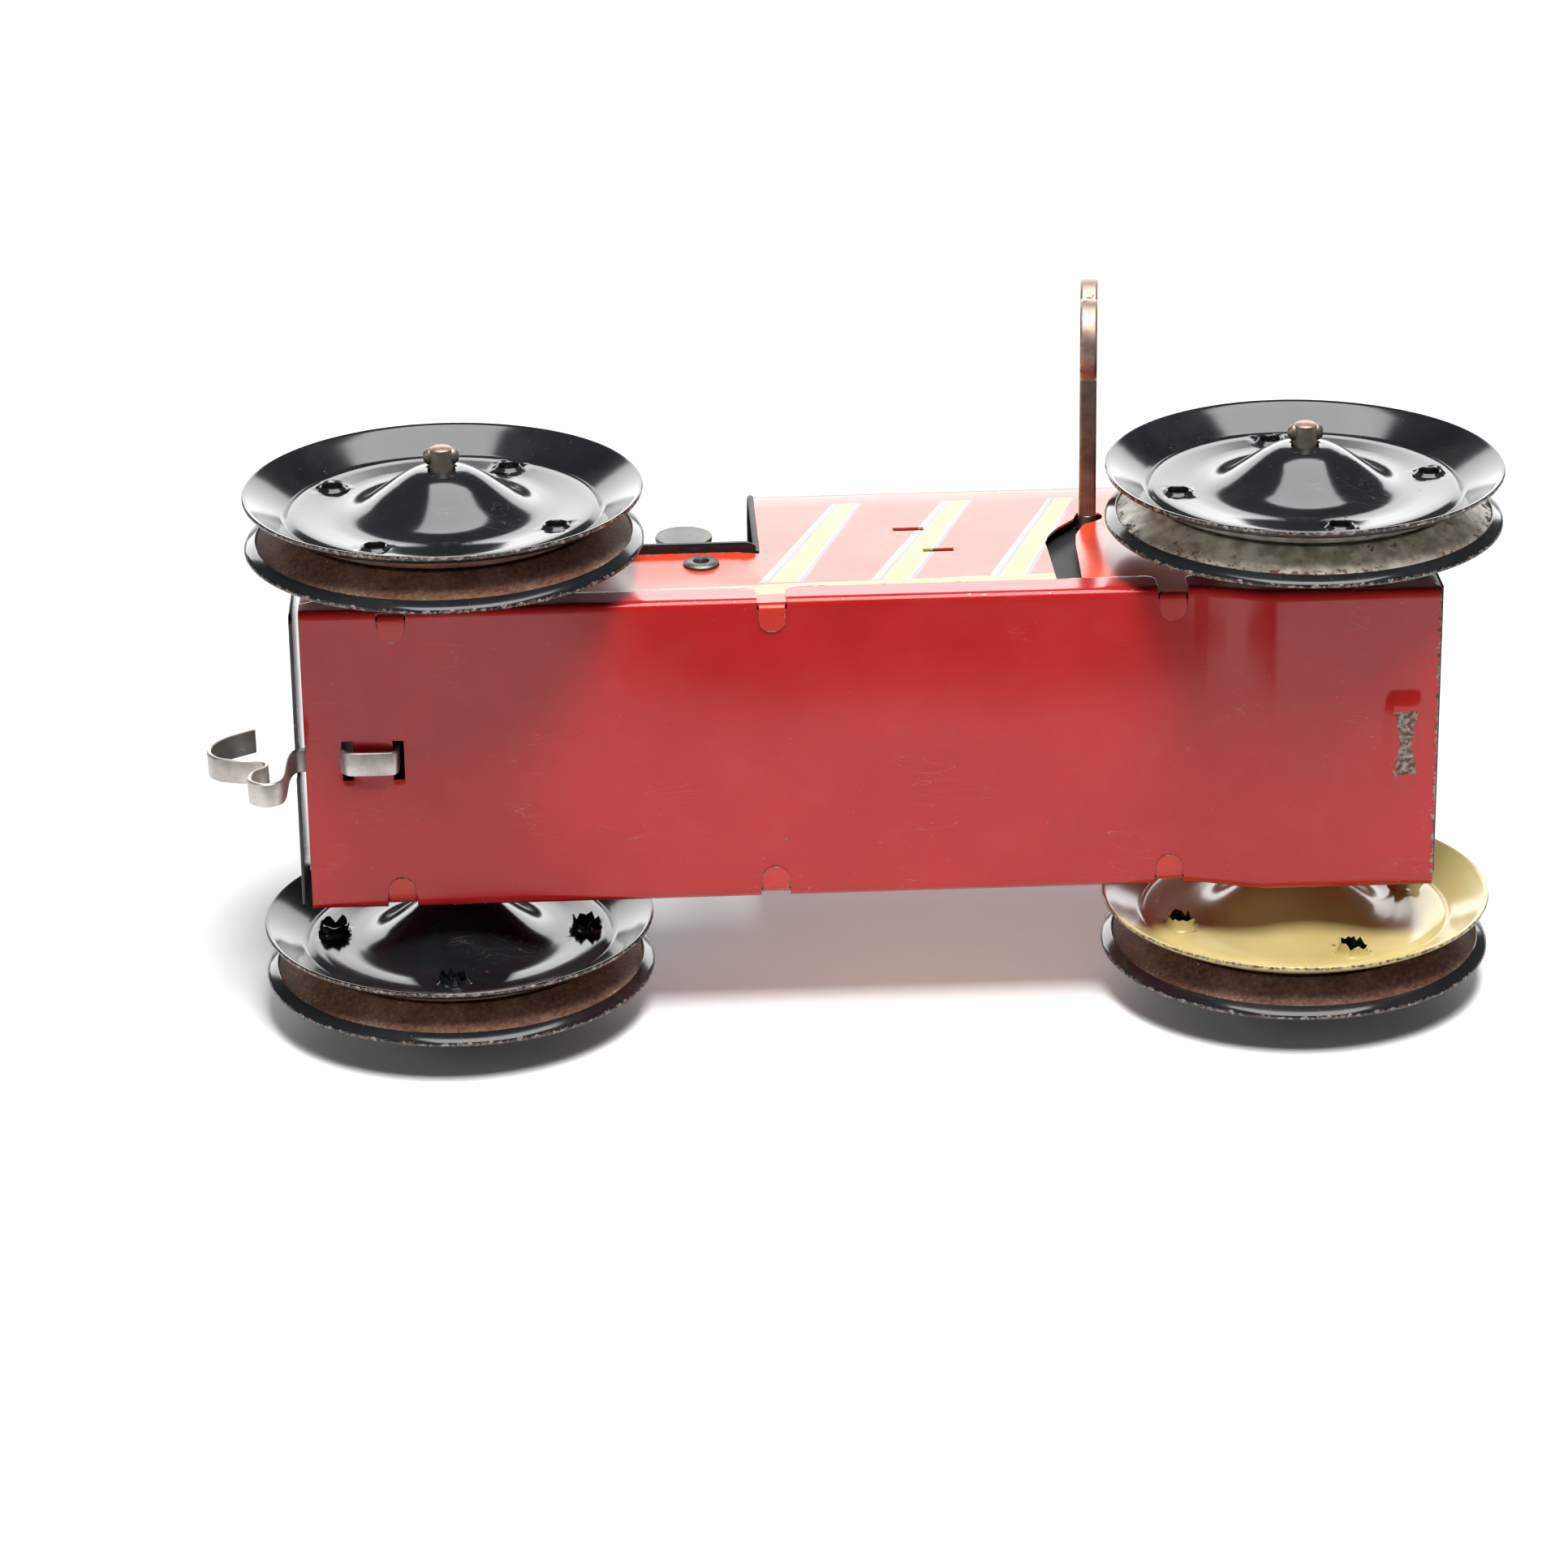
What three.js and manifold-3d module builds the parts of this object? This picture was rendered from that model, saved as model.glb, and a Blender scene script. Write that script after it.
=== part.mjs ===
// Clockwork tin crawler tractor without its rubber tracks.
// Millimetres. +X is forward, +Y is the left side and +Z is up.
// The origin is on the flat underside of the bottom pan, on the centre line, midway between the axles.

import * as THREE from 'three';
import { mergeVertices } from 'three/addons/utils/BufferGeometryUtils.js';
import Module from 'manifold-3d';

const wasm = await Module();
wasm.setup();

// ---------------------------------------------------------------- driving dimensions

const SHEET = 0.6;              // tinplate, with its paint and its hems
const GAP = 0.3;                // play between pieces that touch
const WHEELBASE = 142.6;
const AXLE_HEIGHT = 13;
const AXLE_RADIUS = 2;
const AXLE_REACH = 50.3;        // centre line to the axle's end
const WHEEL_RADIUS = 33;
const WHEEL_TRACK = 38.3;       // centre line to the middle of a wheel's groove
const RIM_SPACING = 9.4;        // between the two rims of one wheel

const BODY_REAR = -95.4;
const BODY_FRONT = 92.2;
const PAN_HALF_WIDTH = 26.6;
const PAN_FLANGE_TOP = 6.3;
const POCKET_DEPTH = 3.75;      // the pan is deeper under the axle gear
const POCKET_START = 53;
const POCKET_FLAT = 64;
const TAB_WIDTH = 4.2;
const TAB_REACH = 4.6;
const TAB_PLACES = [-80.4, -17.8, 48.3];
const TAB_LIFT = 0.05;          // a folded tab lies this far inside the pan's underside
const PAN_REAR_BEND = -77;      // behind this the pan rises a little to its rear edge
const PAN_REAR_RISE = 0.3;

const SIDE_OUTER = PAN_HALF_WIDTH - SHEET - GAP / 2;
const SIDE_INNER = SIDE_OUTER - SHEET;
const SIDE_BOTTOM = 0.9;
const DECK_UNDERSIDE = 24.3;
const DECK_HALF_WIDTH = 28;
const HOOD_REAR = -19;
const HOOD_TOP = 58;
const HOOD_CORNER = 7;

const ARBOR_X = 37.7;
const ARBOR_Z = 37.5;
const ARBOR_RADIUS = 1.6;
const KEY_SHAFT = 2.9;
const KEY_GRIP_Y = -59.4;
const KEY_LOBE = 7;
const KEY_TURN = 0.0995;         // radians: where the run-down spring left the key

const LEVER_X = -28.8;
const LEVER_Z = 19;
const LEVER_PADDLE_X = -31.3;
const LEVER_PADDLE_Z = 36.3;
const LEVER_PADDLE_RADIUS = 4.9;
const LEVER_HOLE = 1.9;         // through the side panel and the lever, for the hollow rivet

const PLATE_RIGHT = -23.6;      // outer face of the right motor plate
const PLATE_LEFT = -2.2;        // outer face of the left motor plate
const PLATE_SHEET = 0.8;

const MODULE_DRIVE = 1;         // gear module of the great wheel, drive pinion and axle gear
const MODULE_FINE = 0.8;        // gear module of the second wheel and escape pinion
const GREAT_TEETH = 36;
const DRIVE_PINION_TEETH = 10;
const AXLE_GEAR_TEETH = 28;
const SECOND_PINION_TEETH = 8;
const SECOND_WHEEL_TEETH = 30;
const ESCAPE_PINION_TEETH = 8;
const ESCAPE_TEETH = 12;
const RATCHET_TEETH = 12;
const PLAIN_RADIUS = 1;         // of the pinions', escapement's and anchor's arbors

// ---------------------------------------------------------------- solids from three.js geometries

function solid(geometry) {
  const bare = geometry.clone();
  bare.deleteAttribute('normal');
  bare.deleteAttribute('uv');
  const merged = mergeVertices(bare, 1e-4);
  const place = merged.getAttribute('position');
  const corners = merged.index.array;
  const kept = [];
  let volume = 0;
  const a = new THREE.Vector3();
  const b = new THREE.Vector3();
  const c = new THREE.Vector3();
  for (let i = 0; i < corners.length; i += 3) {
    const [p, q, r] = [corners[i], corners[i + 1], corners[i + 2]];
    if (p === q || q === r || r === p) continue;
    kept.push(p, q, r);
    a.fromBufferAttribute(place, p);
    b.fromBufferAttribute(place, q);
    c.fromBufferAttribute(place, r);
    volume += a.dot(b.cross(c));
  }
  if (volume < 0) kept.reverse();
  return new wasm.Manifold(new wasm.Mesh({
    numProp: 3,
    vertProperties: new Float32Array(place.array),
    triVerts: new Uint32Array(kept),
  }));
}

function geometryOf(manifold) {
  const mesh = manifold.getMesh();
  const geometry = new THREE.BufferGeometry();
  geometry.setAttribute('position', new THREE.BufferAttribute(mesh.vertProperties, 3));
  geometry.setIndex(new THREE.BufferAttribute(mesh.triVerts, 1));
  geometry.computeVertexNormals();
  return geometry;
}

const join = (first, ...others) => others.reduce((whole, next) => whole.add(next), first);
const cut = (first, ...others) => others.reduce((whole, next) => whole.subtract(next), first);

// A box between two corners.
function block(low, high) {
  const size = high.map((value, i) => value - low[i]);
  const centre = high.map((value, i) => (value + low[i]) / 2);
  return solid(new THREE.BoxGeometry(...size).translate(...centre));
}

// An outline drawn in X and Z, made solid between two places across the tractor.
function across(shape, y0, y1, curveSegments = 6) {
  const geometry = new THREE.ExtrudeGeometry(shape, { depth: y1 - y0, bevelEnabled: false, curveSegments });
  return solid(geometry.rotateX(Math.PI / 2).translate(0, y1, 0));
}

// An outline drawn in Y and Z, made solid between two places along the tractor.
function along(shape, x0, x1, curveSegments = 6) {
  const geometry = new THREE.ExtrudeGeometry(shape, { depth: x1 - x0, bevelEnabled: false, curveSegments });
  const turn = new THREE.Matrix4().makeBasis(
    new THREE.Vector3(0, 1, 0),
    new THREE.Vector3(0, 0, 1),
    new THREE.Vector3(1, 0, 0),
  );
  return solid(geometry.applyMatrix4(turn).translate(x0, 0, 0));
}

// A round bar across the tractor, centred on x and z.
function bar(radius, y0, y1, x = 0, z = 0, sides = 16) {
  const geometry = new THREE.CylinderGeometry(radius, radius, y1 - y0, sides);
  return solid(geometry.translate(x, (y0 + y1) / 2, z));
}

// A turned piece about the Y axis: points are [radius, y] and close on themselves.
function turned(points, segments = 24) {
  const profile = [...points, points[0]].map(([r, y]) => new THREE.Vector2(r, y));
  return solid(new THREE.LatheGeometry(profile, segments));
}

const outline = (points) => new THREE.Shape(points.map(([u, v]) => new THREE.Vector2(u, v)));

// A link with round ends of two radii, as an outline in X and Z.
function link(x0, z0, r0, x1, z1, r1) {
  const heading = Math.atan2(z1 - z0, x1 - x0);
  const lean = Math.acos((r0 - r1) / Math.hypot(x1 - x0, z1 - z0));
  const shape = new THREE.Shape();
  shape.absarc(x0, z0, r0, heading + lean, heading - lean + 2 * Math.PI, false);
  shape.absarc(x1, z1, r1, heading - lean, heading + lean, false);
  return shape;
}

// A strip of even thickness along a path in X and Z, as an outline.
function strip(path, thickness) {
  const sides = [[], []];
  path.forEach((point, i) => {
    const before = path[Math.max(i - 1, 0)];
    const after = path[Math.min(i + 1, path.length - 1)];
    const heading = new THREE.Vector2().subVectors(after, before).normalize();
    const offset = new THREE.Vector2(-heading.y, heading.x).multiplyScalar(thickness / 2);
    sides[0].push(point.clone().add(offset));
    sides[1].unshift(point.clone().sub(offset));
  });
  return new THREE.Shape([...sides[0], ...sides[1]]);
}

// ---------------------------------------------------------------- gears

const TOOTH_ROOT_SHARE = 0.25;  // half a tooth's width, as a share of the pitch angle
const TOOTH_TIP_SHARE = 0.1;
const ADDENDUM = 0.8;
const DEDENDUM = 1.05;

const pitchRadius = (teeth, module) => (teeth * module) / 2;

function gear(teeth, module, y0, y1, bore) {
  const pitch = (2 * Math.PI) / teeth;
  const root = pitchRadius(teeth, module) - DEDENDUM * module;
  const tip = pitchRadius(teeth, module) + ADDENDUM * module;
  const points = [];
  for (let tooth = 0; tooth < teeth; tooth += 1) {
    const corners = [
      [-TOOTH_ROOT_SHARE, root],
      [-TOOTH_TIP_SHARE, tip],
      [TOOTH_TIP_SHARE, tip],
      [TOOTH_ROOT_SHARE, root],
    ];
    for (const [share, radius] of corners) {
      const angle = (tooth + share) * pitch;
      points.push([radius * Math.cos(angle), radius * Math.sin(angle)]);
    }
  }
  const wheel = across(outline(points), y0, y1);
  return bore ? cut(wheel, bar(bore, y0 - 1, y1 + 1)) : wheel;
}

// Where the tooth of the next gear points, so that the two are in mesh.
function meshedPhase(from, to, phase) {
  const line = Math.atan2(to.z - from.z, to.x - from.x);
  const fromPitch = (2 * Math.PI) / from.teeth;
  const toPitch = (2 * Math.PI) / to.teeth;
  const share = (phase - line) / fromPitch;
  return line + Math.PI - (share + 0.5) * toPitch;
}

// A saw-toothed wheel, for the ratchet and the escapement.
function sawWheel(teeth, tip, root, y0, y1, bore) {
  const points = [];
  for (let tooth = 0; tooth < teeth; tooth += 1) {
    const start = (tooth / teeth) * 2 * Math.PI;
    const end = ((tooth + 0.82) / teeth) * 2 * Math.PI;
    points.push([tip * Math.cos(start), tip * Math.sin(start)]);
    points.push([root * Math.cos(end), root * Math.sin(end)]);
  }
  return cut(across(outline(points), y0, y1), bar(bore, y0 - 1, y1 + 1));
}

// ---------------------------------------------------------------- where the motor's arbors stand

const frontAxle = { x: WHEELBASE / 2, z: AXLE_HEIGHT, teeth: AXLE_GEAR_TEETH };
const great = { x: ARBOR_X, z: ARBOR_Z, teeth: GREAT_TEETH };

function towards(from, distance, degrees) {
  const angle = THREE.MathUtils.degToRad(degrees);
  return { x: from.x + distance * Math.cos(angle), z: from.z + distance * Math.sin(angle) };
}

// The drive pinion's arbor, at its two centre distances from the great wheel and the axle gear.
function betweenGreatAndAxle() {
  const toGreat = pitchRadius(GREAT_TEETH + DRIVE_PINION_TEETH, MODULE_DRIVE);
  const toAxle = pitchRadius(AXLE_GEAR_TEETH + DRIVE_PINION_TEETH, MODULE_DRIVE);
  const span = Math.hypot(frontAxle.x - great.x, frontAxle.z - great.z);
  const reach = (span ** 2 + toGreat ** 2 - toAxle ** 2) / (2 * span);
  const rise = Math.acos(reach / toGreat);
  const line = Math.atan2(frontAxle.z - great.z, frontAxle.x - great.x);
  return towards(great, toGreat, THREE.MathUtils.radToDeg(line + rise));
}

const drive = { ...betweenGreatAndAxle(), teeth: DRIVE_PINION_TEETH };
const secondDistance = pitchRadius(GREAT_TEETH + SECOND_PINION_TEETH, MODULE_DRIVE);
const second = { ...towards(great, secondDistance, 200), teeth: SECOND_PINION_TEETH };
const escapeDistance = pitchRadius(SECOND_WHEEL_TEETH + ESCAPE_PINION_TEETH, MODULE_FINE);
const escape = { ...towards(second, escapeDistance, 205), teeth: ESCAPE_PINION_TEETH };
const anchor = towards(escape, 12, 185);
const pillars = [[-10, 12], [10, 44], [60.5, 37], [30, 6.5]];    // x and z of each

// ---------------------------------------------------------------- the tractor's body

function hoodOutline(halfWidth, bottom, top, corner) {
  const shape = new THREE.Shape();
  shape.moveTo(-halfWidth, bottom);
  shape.lineTo(halfWidth, bottom);
  shape.absarc(halfWidth - corner, top - corner, corner, 0, Math.PI / 2, false);
  shape.absarc(corner - halfWidth, top - corner, corner, Math.PI / 2, Math.PI, false);
  shape.closePath();
  return shape;
}

// A side tab: down through the pan's notch, then folded into the pressed seat under it.
function sideTab(x, side) {
  const half = TAB_WIDTH / 2;
  const shank = [side * SIDE_INNER, side * SIDE_OUTER];
  const fold = [side * (SIDE_OUTER - TAB_REACH), side * SIDE_OUTER];
  return join(
    block([x - half, Math.min(...shank), TAB_LIFT], [x + half, Math.max(...shank), SIDE_BOTTOM + 1]),
    block([x - half, Math.min(...fold), TAB_LIFT], [x + half, Math.max(...fold), TAB_LIFT + SHEET]),
  );
}

// The winding slot, which let the arbor slide up the right side when the motor was fitted.
function windingSlot() {
  const shape = new THREE.Shape();
  shape.moveTo(30.1, -1);
  shape.lineTo(29.6, 25);
  shape.quadraticCurveTo(31, 33, ARBOR_X - 1, ARBOR_Z + 2.4);
  shape.absarc(ARBOR_X, ARBOR_Z, 2.6, Math.PI * 0.6, -Math.PI * 0.45, true);
  shape.lineTo(34.6, 27);
  shape.lineTo(33.9, -1);
  shape.closePath();
  return across(shape, -SIDE_OUTER - 1, -SIDE_INNER + 1, 5);
}

function bodyShell() {
  const outer = along(hoodOutline(SIDE_OUTER, SIDE_BOTTOM, HOOD_TOP, HOOD_CORNER), BODY_REAR, BODY_FRONT, 4);
  const hollow = hoodOutline(SIDE_INNER, SIDE_BOTTOM - 2, HOOD_TOP - SHEET, HOOD_CORNER - SHEET);
  const inner = along(hollow, BODY_REAR - 2, BODY_FRONT + 2, 4);
  const aboveDeck = block([BODY_REAR - 1, -40, DECK_UNDERSIDE - GAP], [HOOD_REAR, 40, HOOD_TOP + 1]);
  const axleHoles = [-1, 1].map((end) => bar(AXLE_RADIUS + 0.6, -40, 40, (end * WHEELBASE) / 2, AXLE_HEIGHT));
  const leverHole = bar(LEVER_HOLE, -40, 0, LEVER_X, LEVER_Z, 12);
  const tabSlots = MOTOR_TABS.map(([x, z]) => block([x - 2.6, -40, z - 0.8], [x + 2.6, 0, z + 0.8]));
  const shell = cut(outer, inner, aboveDeck, ...axleHoles, leverHole, windingSlot(), ...tabSlots);
  const tabs = TAB_PLACES.flatMap((x) => [sideTab(x, -1), sideTab(x, 1)]);
  return join(shell, ...tabs);
}

// The pan is pressed up round each folded tab: what stands up inside, and the seat under it.
function tabSeat(x, side) {
  const half = TAB_WIDTH / 2 + GAP;
  const end = SIDE_OUTER - TAB_REACH - GAP;
  const notch = SIDE_INNER - GAP;
  const seatTop = TAB_LIFT + SHEET + GAP;
  const spread = (near, far) => [Math.min(side * near, side * far), Math.max(side * near, side * far)];
  const [raised0, raised1] = spread(end - SHEET, notch);
  const [seat0, seat1] = spread(end, notch + SHEET);
  return {
    raised: block([x - half - SHEET, raised0, SHEET / 2], [x + half + SHEET, raised1, seatTop + SHEET]),
    seat: block([x - half, seat0, -1], [x + half, seat1, seatTop]),
  };
}

function bottomPan() {
  const floor = [
    [BODY_REAR, PAN_REAR_RISE],
    [PAN_REAR_BEND, 0],
    [POCKET_START, 0],
    [POCKET_FLAT, -POCKET_DEPTH],
    [BODY_FRONT, -POCKET_DEPTH],
  ];
  const lifted = floor.map(([x, z]) => [x, z + SHEET]).reverse();
  const sheet = across(outline([...floor, ...lifted]), -PAN_HALF_WIDTH, PAN_HALF_WIDTH);
  const side = outline([...floor, [BODY_FRONT, PAN_FLANGE_TOP], [BODY_REAR, PAN_FLANGE_TOP]]);
  const flanges = [-PAN_HALF_WIDTH, PAN_HALF_WIDTH - SHEET].map((y) => across(side, y, y + SHEET));
  const half = TAB_WIDTH / 2 + GAP;
  const inside = SIDE_INNER - GAP;
  const notches = TAB_PLACES.flatMap((x) => [
    block([x - half, inside, -5], [x + half, 40, 10]),
    block([x - half, -40, -5], [x + half, -inside, 10]),
  ]);
  const slots = [[-91, -86.9], [-81.8, -78.3]].map(([x0, x1]) => block([x0, -3.4, -1], [x1, 3.4, 2]));
  const seats = TAB_PLACES.flatMap((x) => [tabSeat(x, -1), tabSeat(x, 1)]);
  const raised = seats.map((each) => each.raised);
  return cut(join(sheet, ...flanges, ...raised), ...notches, ...slots, ...seats.map((each) => each.seat));
}

const WALL_REAR = BODY_REAR - 1.6;
const HOOK_CROSSING = 2;        // height at which the hook strip passes the rear wall

function rearWall() {
  const wall = block([WALL_REAR, -26.3, -0.4], [WALL_REAR + SHEET, 26.3, 23.8]);
  return cut(wall, block([WALL_REAR - 1, -2.5, HOOK_CROSSING - 1.5], [WALL_REAR + 2, 2.5, HOOK_CROSSING + 1.2]));
}

function radiatorFront() {
  const face = BODY_FRONT + GAP;
  return along(hoodOutline(SIDE_OUTER, 0, HOOD_TOP, HOOD_CORNER), face, face + 2 * SHEET, 4);
}

function rearDeck() {
  const deck = block([BODY_REAR, -DECK_HALF_WIDTH, DECK_UNDERSIDE],
    [HOOD_REAR - GAP, DECK_HALF_WIDTH, DECK_UNDERSIDE + SHEET]);
  return cut(deck, block([-36, -SIDE_INNER, 20], [-23, -SIDE_INNER + 1.9, 30]));
}

const DASH_X = HOOD_REAR + 1.2;
const COLUMN_FOOT_Z = 46;

function dashPanel() {
  const inset = SIDE_INNER - GAP;
  const shape = hoodOutline(inset, DECK_UNDERSIDE + 1.2, HOOD_TOP - SHEET - GAP, HOOD_CORNER - SHEET - GAP);
  const panel = along(shape, DASH_X, DASH_X + SHEET, 4);
  return cut(panel, block([DASH_X - 1, -2.2, COLUMN_FOOT_Z - 2.2], [DASH_X + 2, 2.2, COLUMN_FOOT_Z + 2.2]));
}

function driverSeat() {
  const top = DECK_UNDERSIDE + SHEET + GAP;
  const path = [[-56, top], [-56, top + 7], [-72, top + 6], [-76, top + 24]];
  return across(strip(path.map(([x, z]) => new THREE.Vector2(x, z)), 0.9), -10, 10);
}

function steeringColumn() {
  return solid(new THREE.CylinderGeometry(1.1, 1.1, 21, 12).translate(0, 10.5, 0));
}

function steeringWheel() {
  const rim = solid(new THREE.TorusGeometry(9, 0.9, 8, 24).rotateX(Math.PI / 2));
  const hub = cut(bar(2.4, -0.8, 0.8), bar(1.4, -2, 2, 0, 0, 12));
  const spokes = [0, 1, 2].map((turn) => {
    const spoke = new THREE.BoxGeometry(7.4, 0.7, 1.6).translate(5.4, 0, 0);
    return solid(spoke.rotateY((turn * 2 * Math.PI) / 3));
  });
  return join(rim, hub, ...spokes);
}

// One strip of spring steel: the open hook, the drop behind the wall, then woven through the pan.
function towHook() {
  const bends = [
    [-104.2, 10.9], [-108.2, 8.1], [-110.8, 4.6], [-111.2, 1.4], [-109.6, -1.1], [-106.7, -2.3],
    [-103.6, -3], [-101.7, -4], [-101.6, -5.6], [-103, -6.8], [-103.9, -8.6], [-103.8, -11.2],
    [-101.5, -13], [-99.3, -12], [-98.5, -9.3], [-98.2, -2.4], [-97.4, 1], [-95.6, HOOK_CROSSING],
    [-92.4, HOOK_CROSSING], [-90, 1.6], [-88.4, -0.4], [-87, -0.8], [-82, -0.8], [-80.5, -0.1], [-80.1, 3.4],
  ];
  const curve = new THREE.CatmullRomCurve3(bends.map(([x, z]) => new THREE.Vector3(x, z, 0)), false, 'centripetal');
  const path = curve.getSpacedPoints(64).map((point) => new THREE.Vector2(point.x, point.y));
  return across(strip(path, 0.8), -2.1, 2.1);
}

// ---------------------------------------------------------------- axles and wheels

function axle() {
  const shaft = bar(AXLE_RADIUS, -AXLE_REACH, AXLE_REACH);
  const ears = [-1, 1].flatMap((end) => [
    block([-3.1, end * 48 - 0.7, -0.6], [3.1, end * 48 + 0.7, 0.6]),
  ]);
  return join(shaft, ...ears);
}

// One stamped disc: hub cone, flat ring and flared rim. Distances are outward from the groove's middle.
function wheelDisc() {
  const rim = RIM_SPACING / 2;
  const face = [
    [AXLE_RADIUS + GAP, 8.2],
    [4.4, 7.5],
    [10, 4],
    [18.5, 1.4],
    [25.3, 1.4],
    [26.3, 0.95],
    [WHEEL_RADIUS - 0.7, rim],
    [WHEEL_RADIUS, rim],
  ];
  const back = [
    [WHEEL_RADIUS, rim - SHEET],
    [26, 0.3],
    [25, 0.8],
    [18.2, 0.8],
    [9.6, 3.4],
    [4, 6.8],
    [AXLE_RADIUS + GAP, 7.4],
  ];
  return turned([...face, ...back]);
}

// ---------------------------------------------------------------- the clockwork motor

const MOTOR_TABS = [[6.8, 34], [11.2, 23.5]];
const PLATE_OUTLINE = [
  [-14, 8], [-3, 2.4], [66, 2.4], [80, 5], [80, 22], [64, 42], [54, 55], [22, 55], [-14, 35],
];

function motorPlate(y0) {
  const y1 = y0 + PLATE_SHEET;
  const plate = across(outline(PLATE_OUTLINE), y0, y1);
  const arbors = [[great, 1.9], [drive, 1.3], [second, 1.3], [escape, 1.3], [anchor, 1.3], [frontAxle, 2.4]];
  const holes = arbors.map(([place, radius]) => bar(radius, y0 - 1, y1 + 1, place.x, place.z, 12));
  const pillarHoles = pillars.map(([x, z]) => bar(1.4, y0 - 1, y1 + 1, x, z, 12));
  return cut(plate, ...holes, ...pillarHoles);
}

// The right plate carries two lugs that pass the side panel and are twisted to lock.
function rightMotorPlate() {
  const lugs = MOTOR_TABS.flatMap(([x, z], i) => {
    const shank = block([x - 2.2, -SIDE_OUTER - 0.6, z - 0.45], [x + 2.2, PLATE_RIGHT + 0.4, z + 0.45]);
    const head = new THREE.BoxGeometry(6, 1.6, 0.9).rotateY(THREE.MathUtils.degToRad(i ? 20 : -28));
    return [shank, solid(head.translate(x, -SIDE_OUTER - 1.2, z))];
  });
  return join(motorPlate(PLATE_RIGHT), ...lugs);
}

const INNER_RIGHT = PLATE_RIGHT + PLATE_SHEET;
const INNER_LEFT = PLATE_LEFT - PLATE_SHEET;

function framePillar() {
  const post = bar(2, INNER_RIGHT + GAP, INNER_LEFT - GAP, 0, 0, 12);
  return join(post, bar(1.1, PLATE_RIGHT - 0.5, PLATE_LEFT + 0.5, 0, 0, 12));
}

function plainArbor() {
  return bar(PLAIN_RADIUS, PLATE_RIGHT - 0.4, PLATE_LEFT + 0.4, 0, 0, 12);
}

function windingArbor() {
  const journal = bar(ARBOR_RADIUS, -26.5, PLATE_LEFT + 0.8);
  const square = new THREE.BoxGeometry(KEY_SHAFT, 25.9, KEY_SHAFT).translate(0, -39.2, 0);
  return join(journal, solid(square));
}

// The grip: two lobes on one flat plate, one above the shaft and one below it.
function keyGrip() {
  const shape = new THREE.Shape();
  const waist = Math.acos((KEY_LOBE - 1.4) / KEY_LOBE);
  shape.absarc(KEY_GRIP_Y, KEY_LOBE - 1.4, KEY_LOBE, waist - Math.PI / 2, 1.5 * Math.PI - waist, false);
  shape.absarc(KEY_GRIP_Y, 1.4 - KEY_LOBE, KEY_LOBE, Math.PI / 2 + waist, 2.5 * Math.PI - waist, false);
  const plate = along(shape, -KEY_SHAFT / 2, KEY_SHAFT / 2, 10);
  return cut(plate, block([-3, -52.6, -3], [3, -40, 3]));
}

function mainspring() {
  const turns = 4.6;
  const steps = 62;
  const path = [];
  for (let step = 0; step <= steps; step += 1) {
    const share = step / steps;
    const angle = Math.PI * 0.42 + turns * 2 * Math.PI * (1 - share);
    const radius = 3.2 + 11.6 * share;
    path.push(new THREE.Vector2(radius * Math.cos(angle), radius * Math.sin(angle)));
  }
  const hook = pillars[2][0] - ARBOR_X;
  path.push(new THREE.Vector2(hook - 9, 11.5), new THREE.Vector2(hook - 2, 6), new THREE.Vector2(hook, 2.4));
  return across(strip(path, 0.5), -16.8, -6.8);
}

const CLICK_RADIUS = 12.2;      // arbor's centre to the click's stud
const CLICK_ANGLE = 70;
const clickStud = towards({ x: 0, z: 0 }, CLICK_RADIUS, CLICK_ANGLE);

function greatWheel() {
  const wheel = gear(GREAT_TEETH, MODULE_DRIVE, -21.6, -20, ARBOR_RADIUS + GAP);
  const windows = [0, 1, 2, 3].map((quarter) => {
    const angle = (quarter + 0.5) * (Math.PI / 2);
    return bar(3.4, -30, -10, 10.4 * Math.cos(angle), 10.4 * Math.sin(angle), 10);
  });
  return join(cut(wheel, ...windows), bar(0.9, -20.5, -17.9, clickStud.x, clickStud.z, 10));
}

function click() {
  const arm = link(0, 0, 1.9, -2.6, -4.4, 0.7);
  return cut(across(arm, -19.4, -18.2, 4), bar(1.2, -21, -17, 0, 0, 10));
}

function clickSpring() {
  const path = [[-9, 11.5], [-6.5, 12.4], [-3.5, 12.2], [0, 10.2]].map(([x, z]) => new THREE.Vector2(x, z));
  return join(across(strip(path, 0.4), -19.2, -18.4), bar(1, -19.7, -18.2, -9, 11.5, 10));
}

function drivePinion() {
  return join(gear(DRIVE_PINION_TEETH, MODULE_DRIVE, -22.2, -8.4, 0), plainArbor());
}

function secondArbor() {
  return join(gear(SECOND_PINION_TEETH, MODULE_DRIVE, -22.2, -19.4, 0), plainArbor());
}

function escapeArbor() {
  return join(gear(ESCAPE_PINION_TEETH, MODULE_FINE, -6, -3.6, 0), plainArbor());
}

function escapeAnchor() {
  const arms = [link(0, 0, 1.9, 5.2, 8.4, 0.8), link(0, 0, 1.9, 5.2, -8, 0.8), link(0, 0, 1.9, -8.6, -0.6, 0.8)];
  return join(plainArbor(), ...arms.map((arm) => across(arm, -14.2, -12.8, 3)));
}

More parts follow.
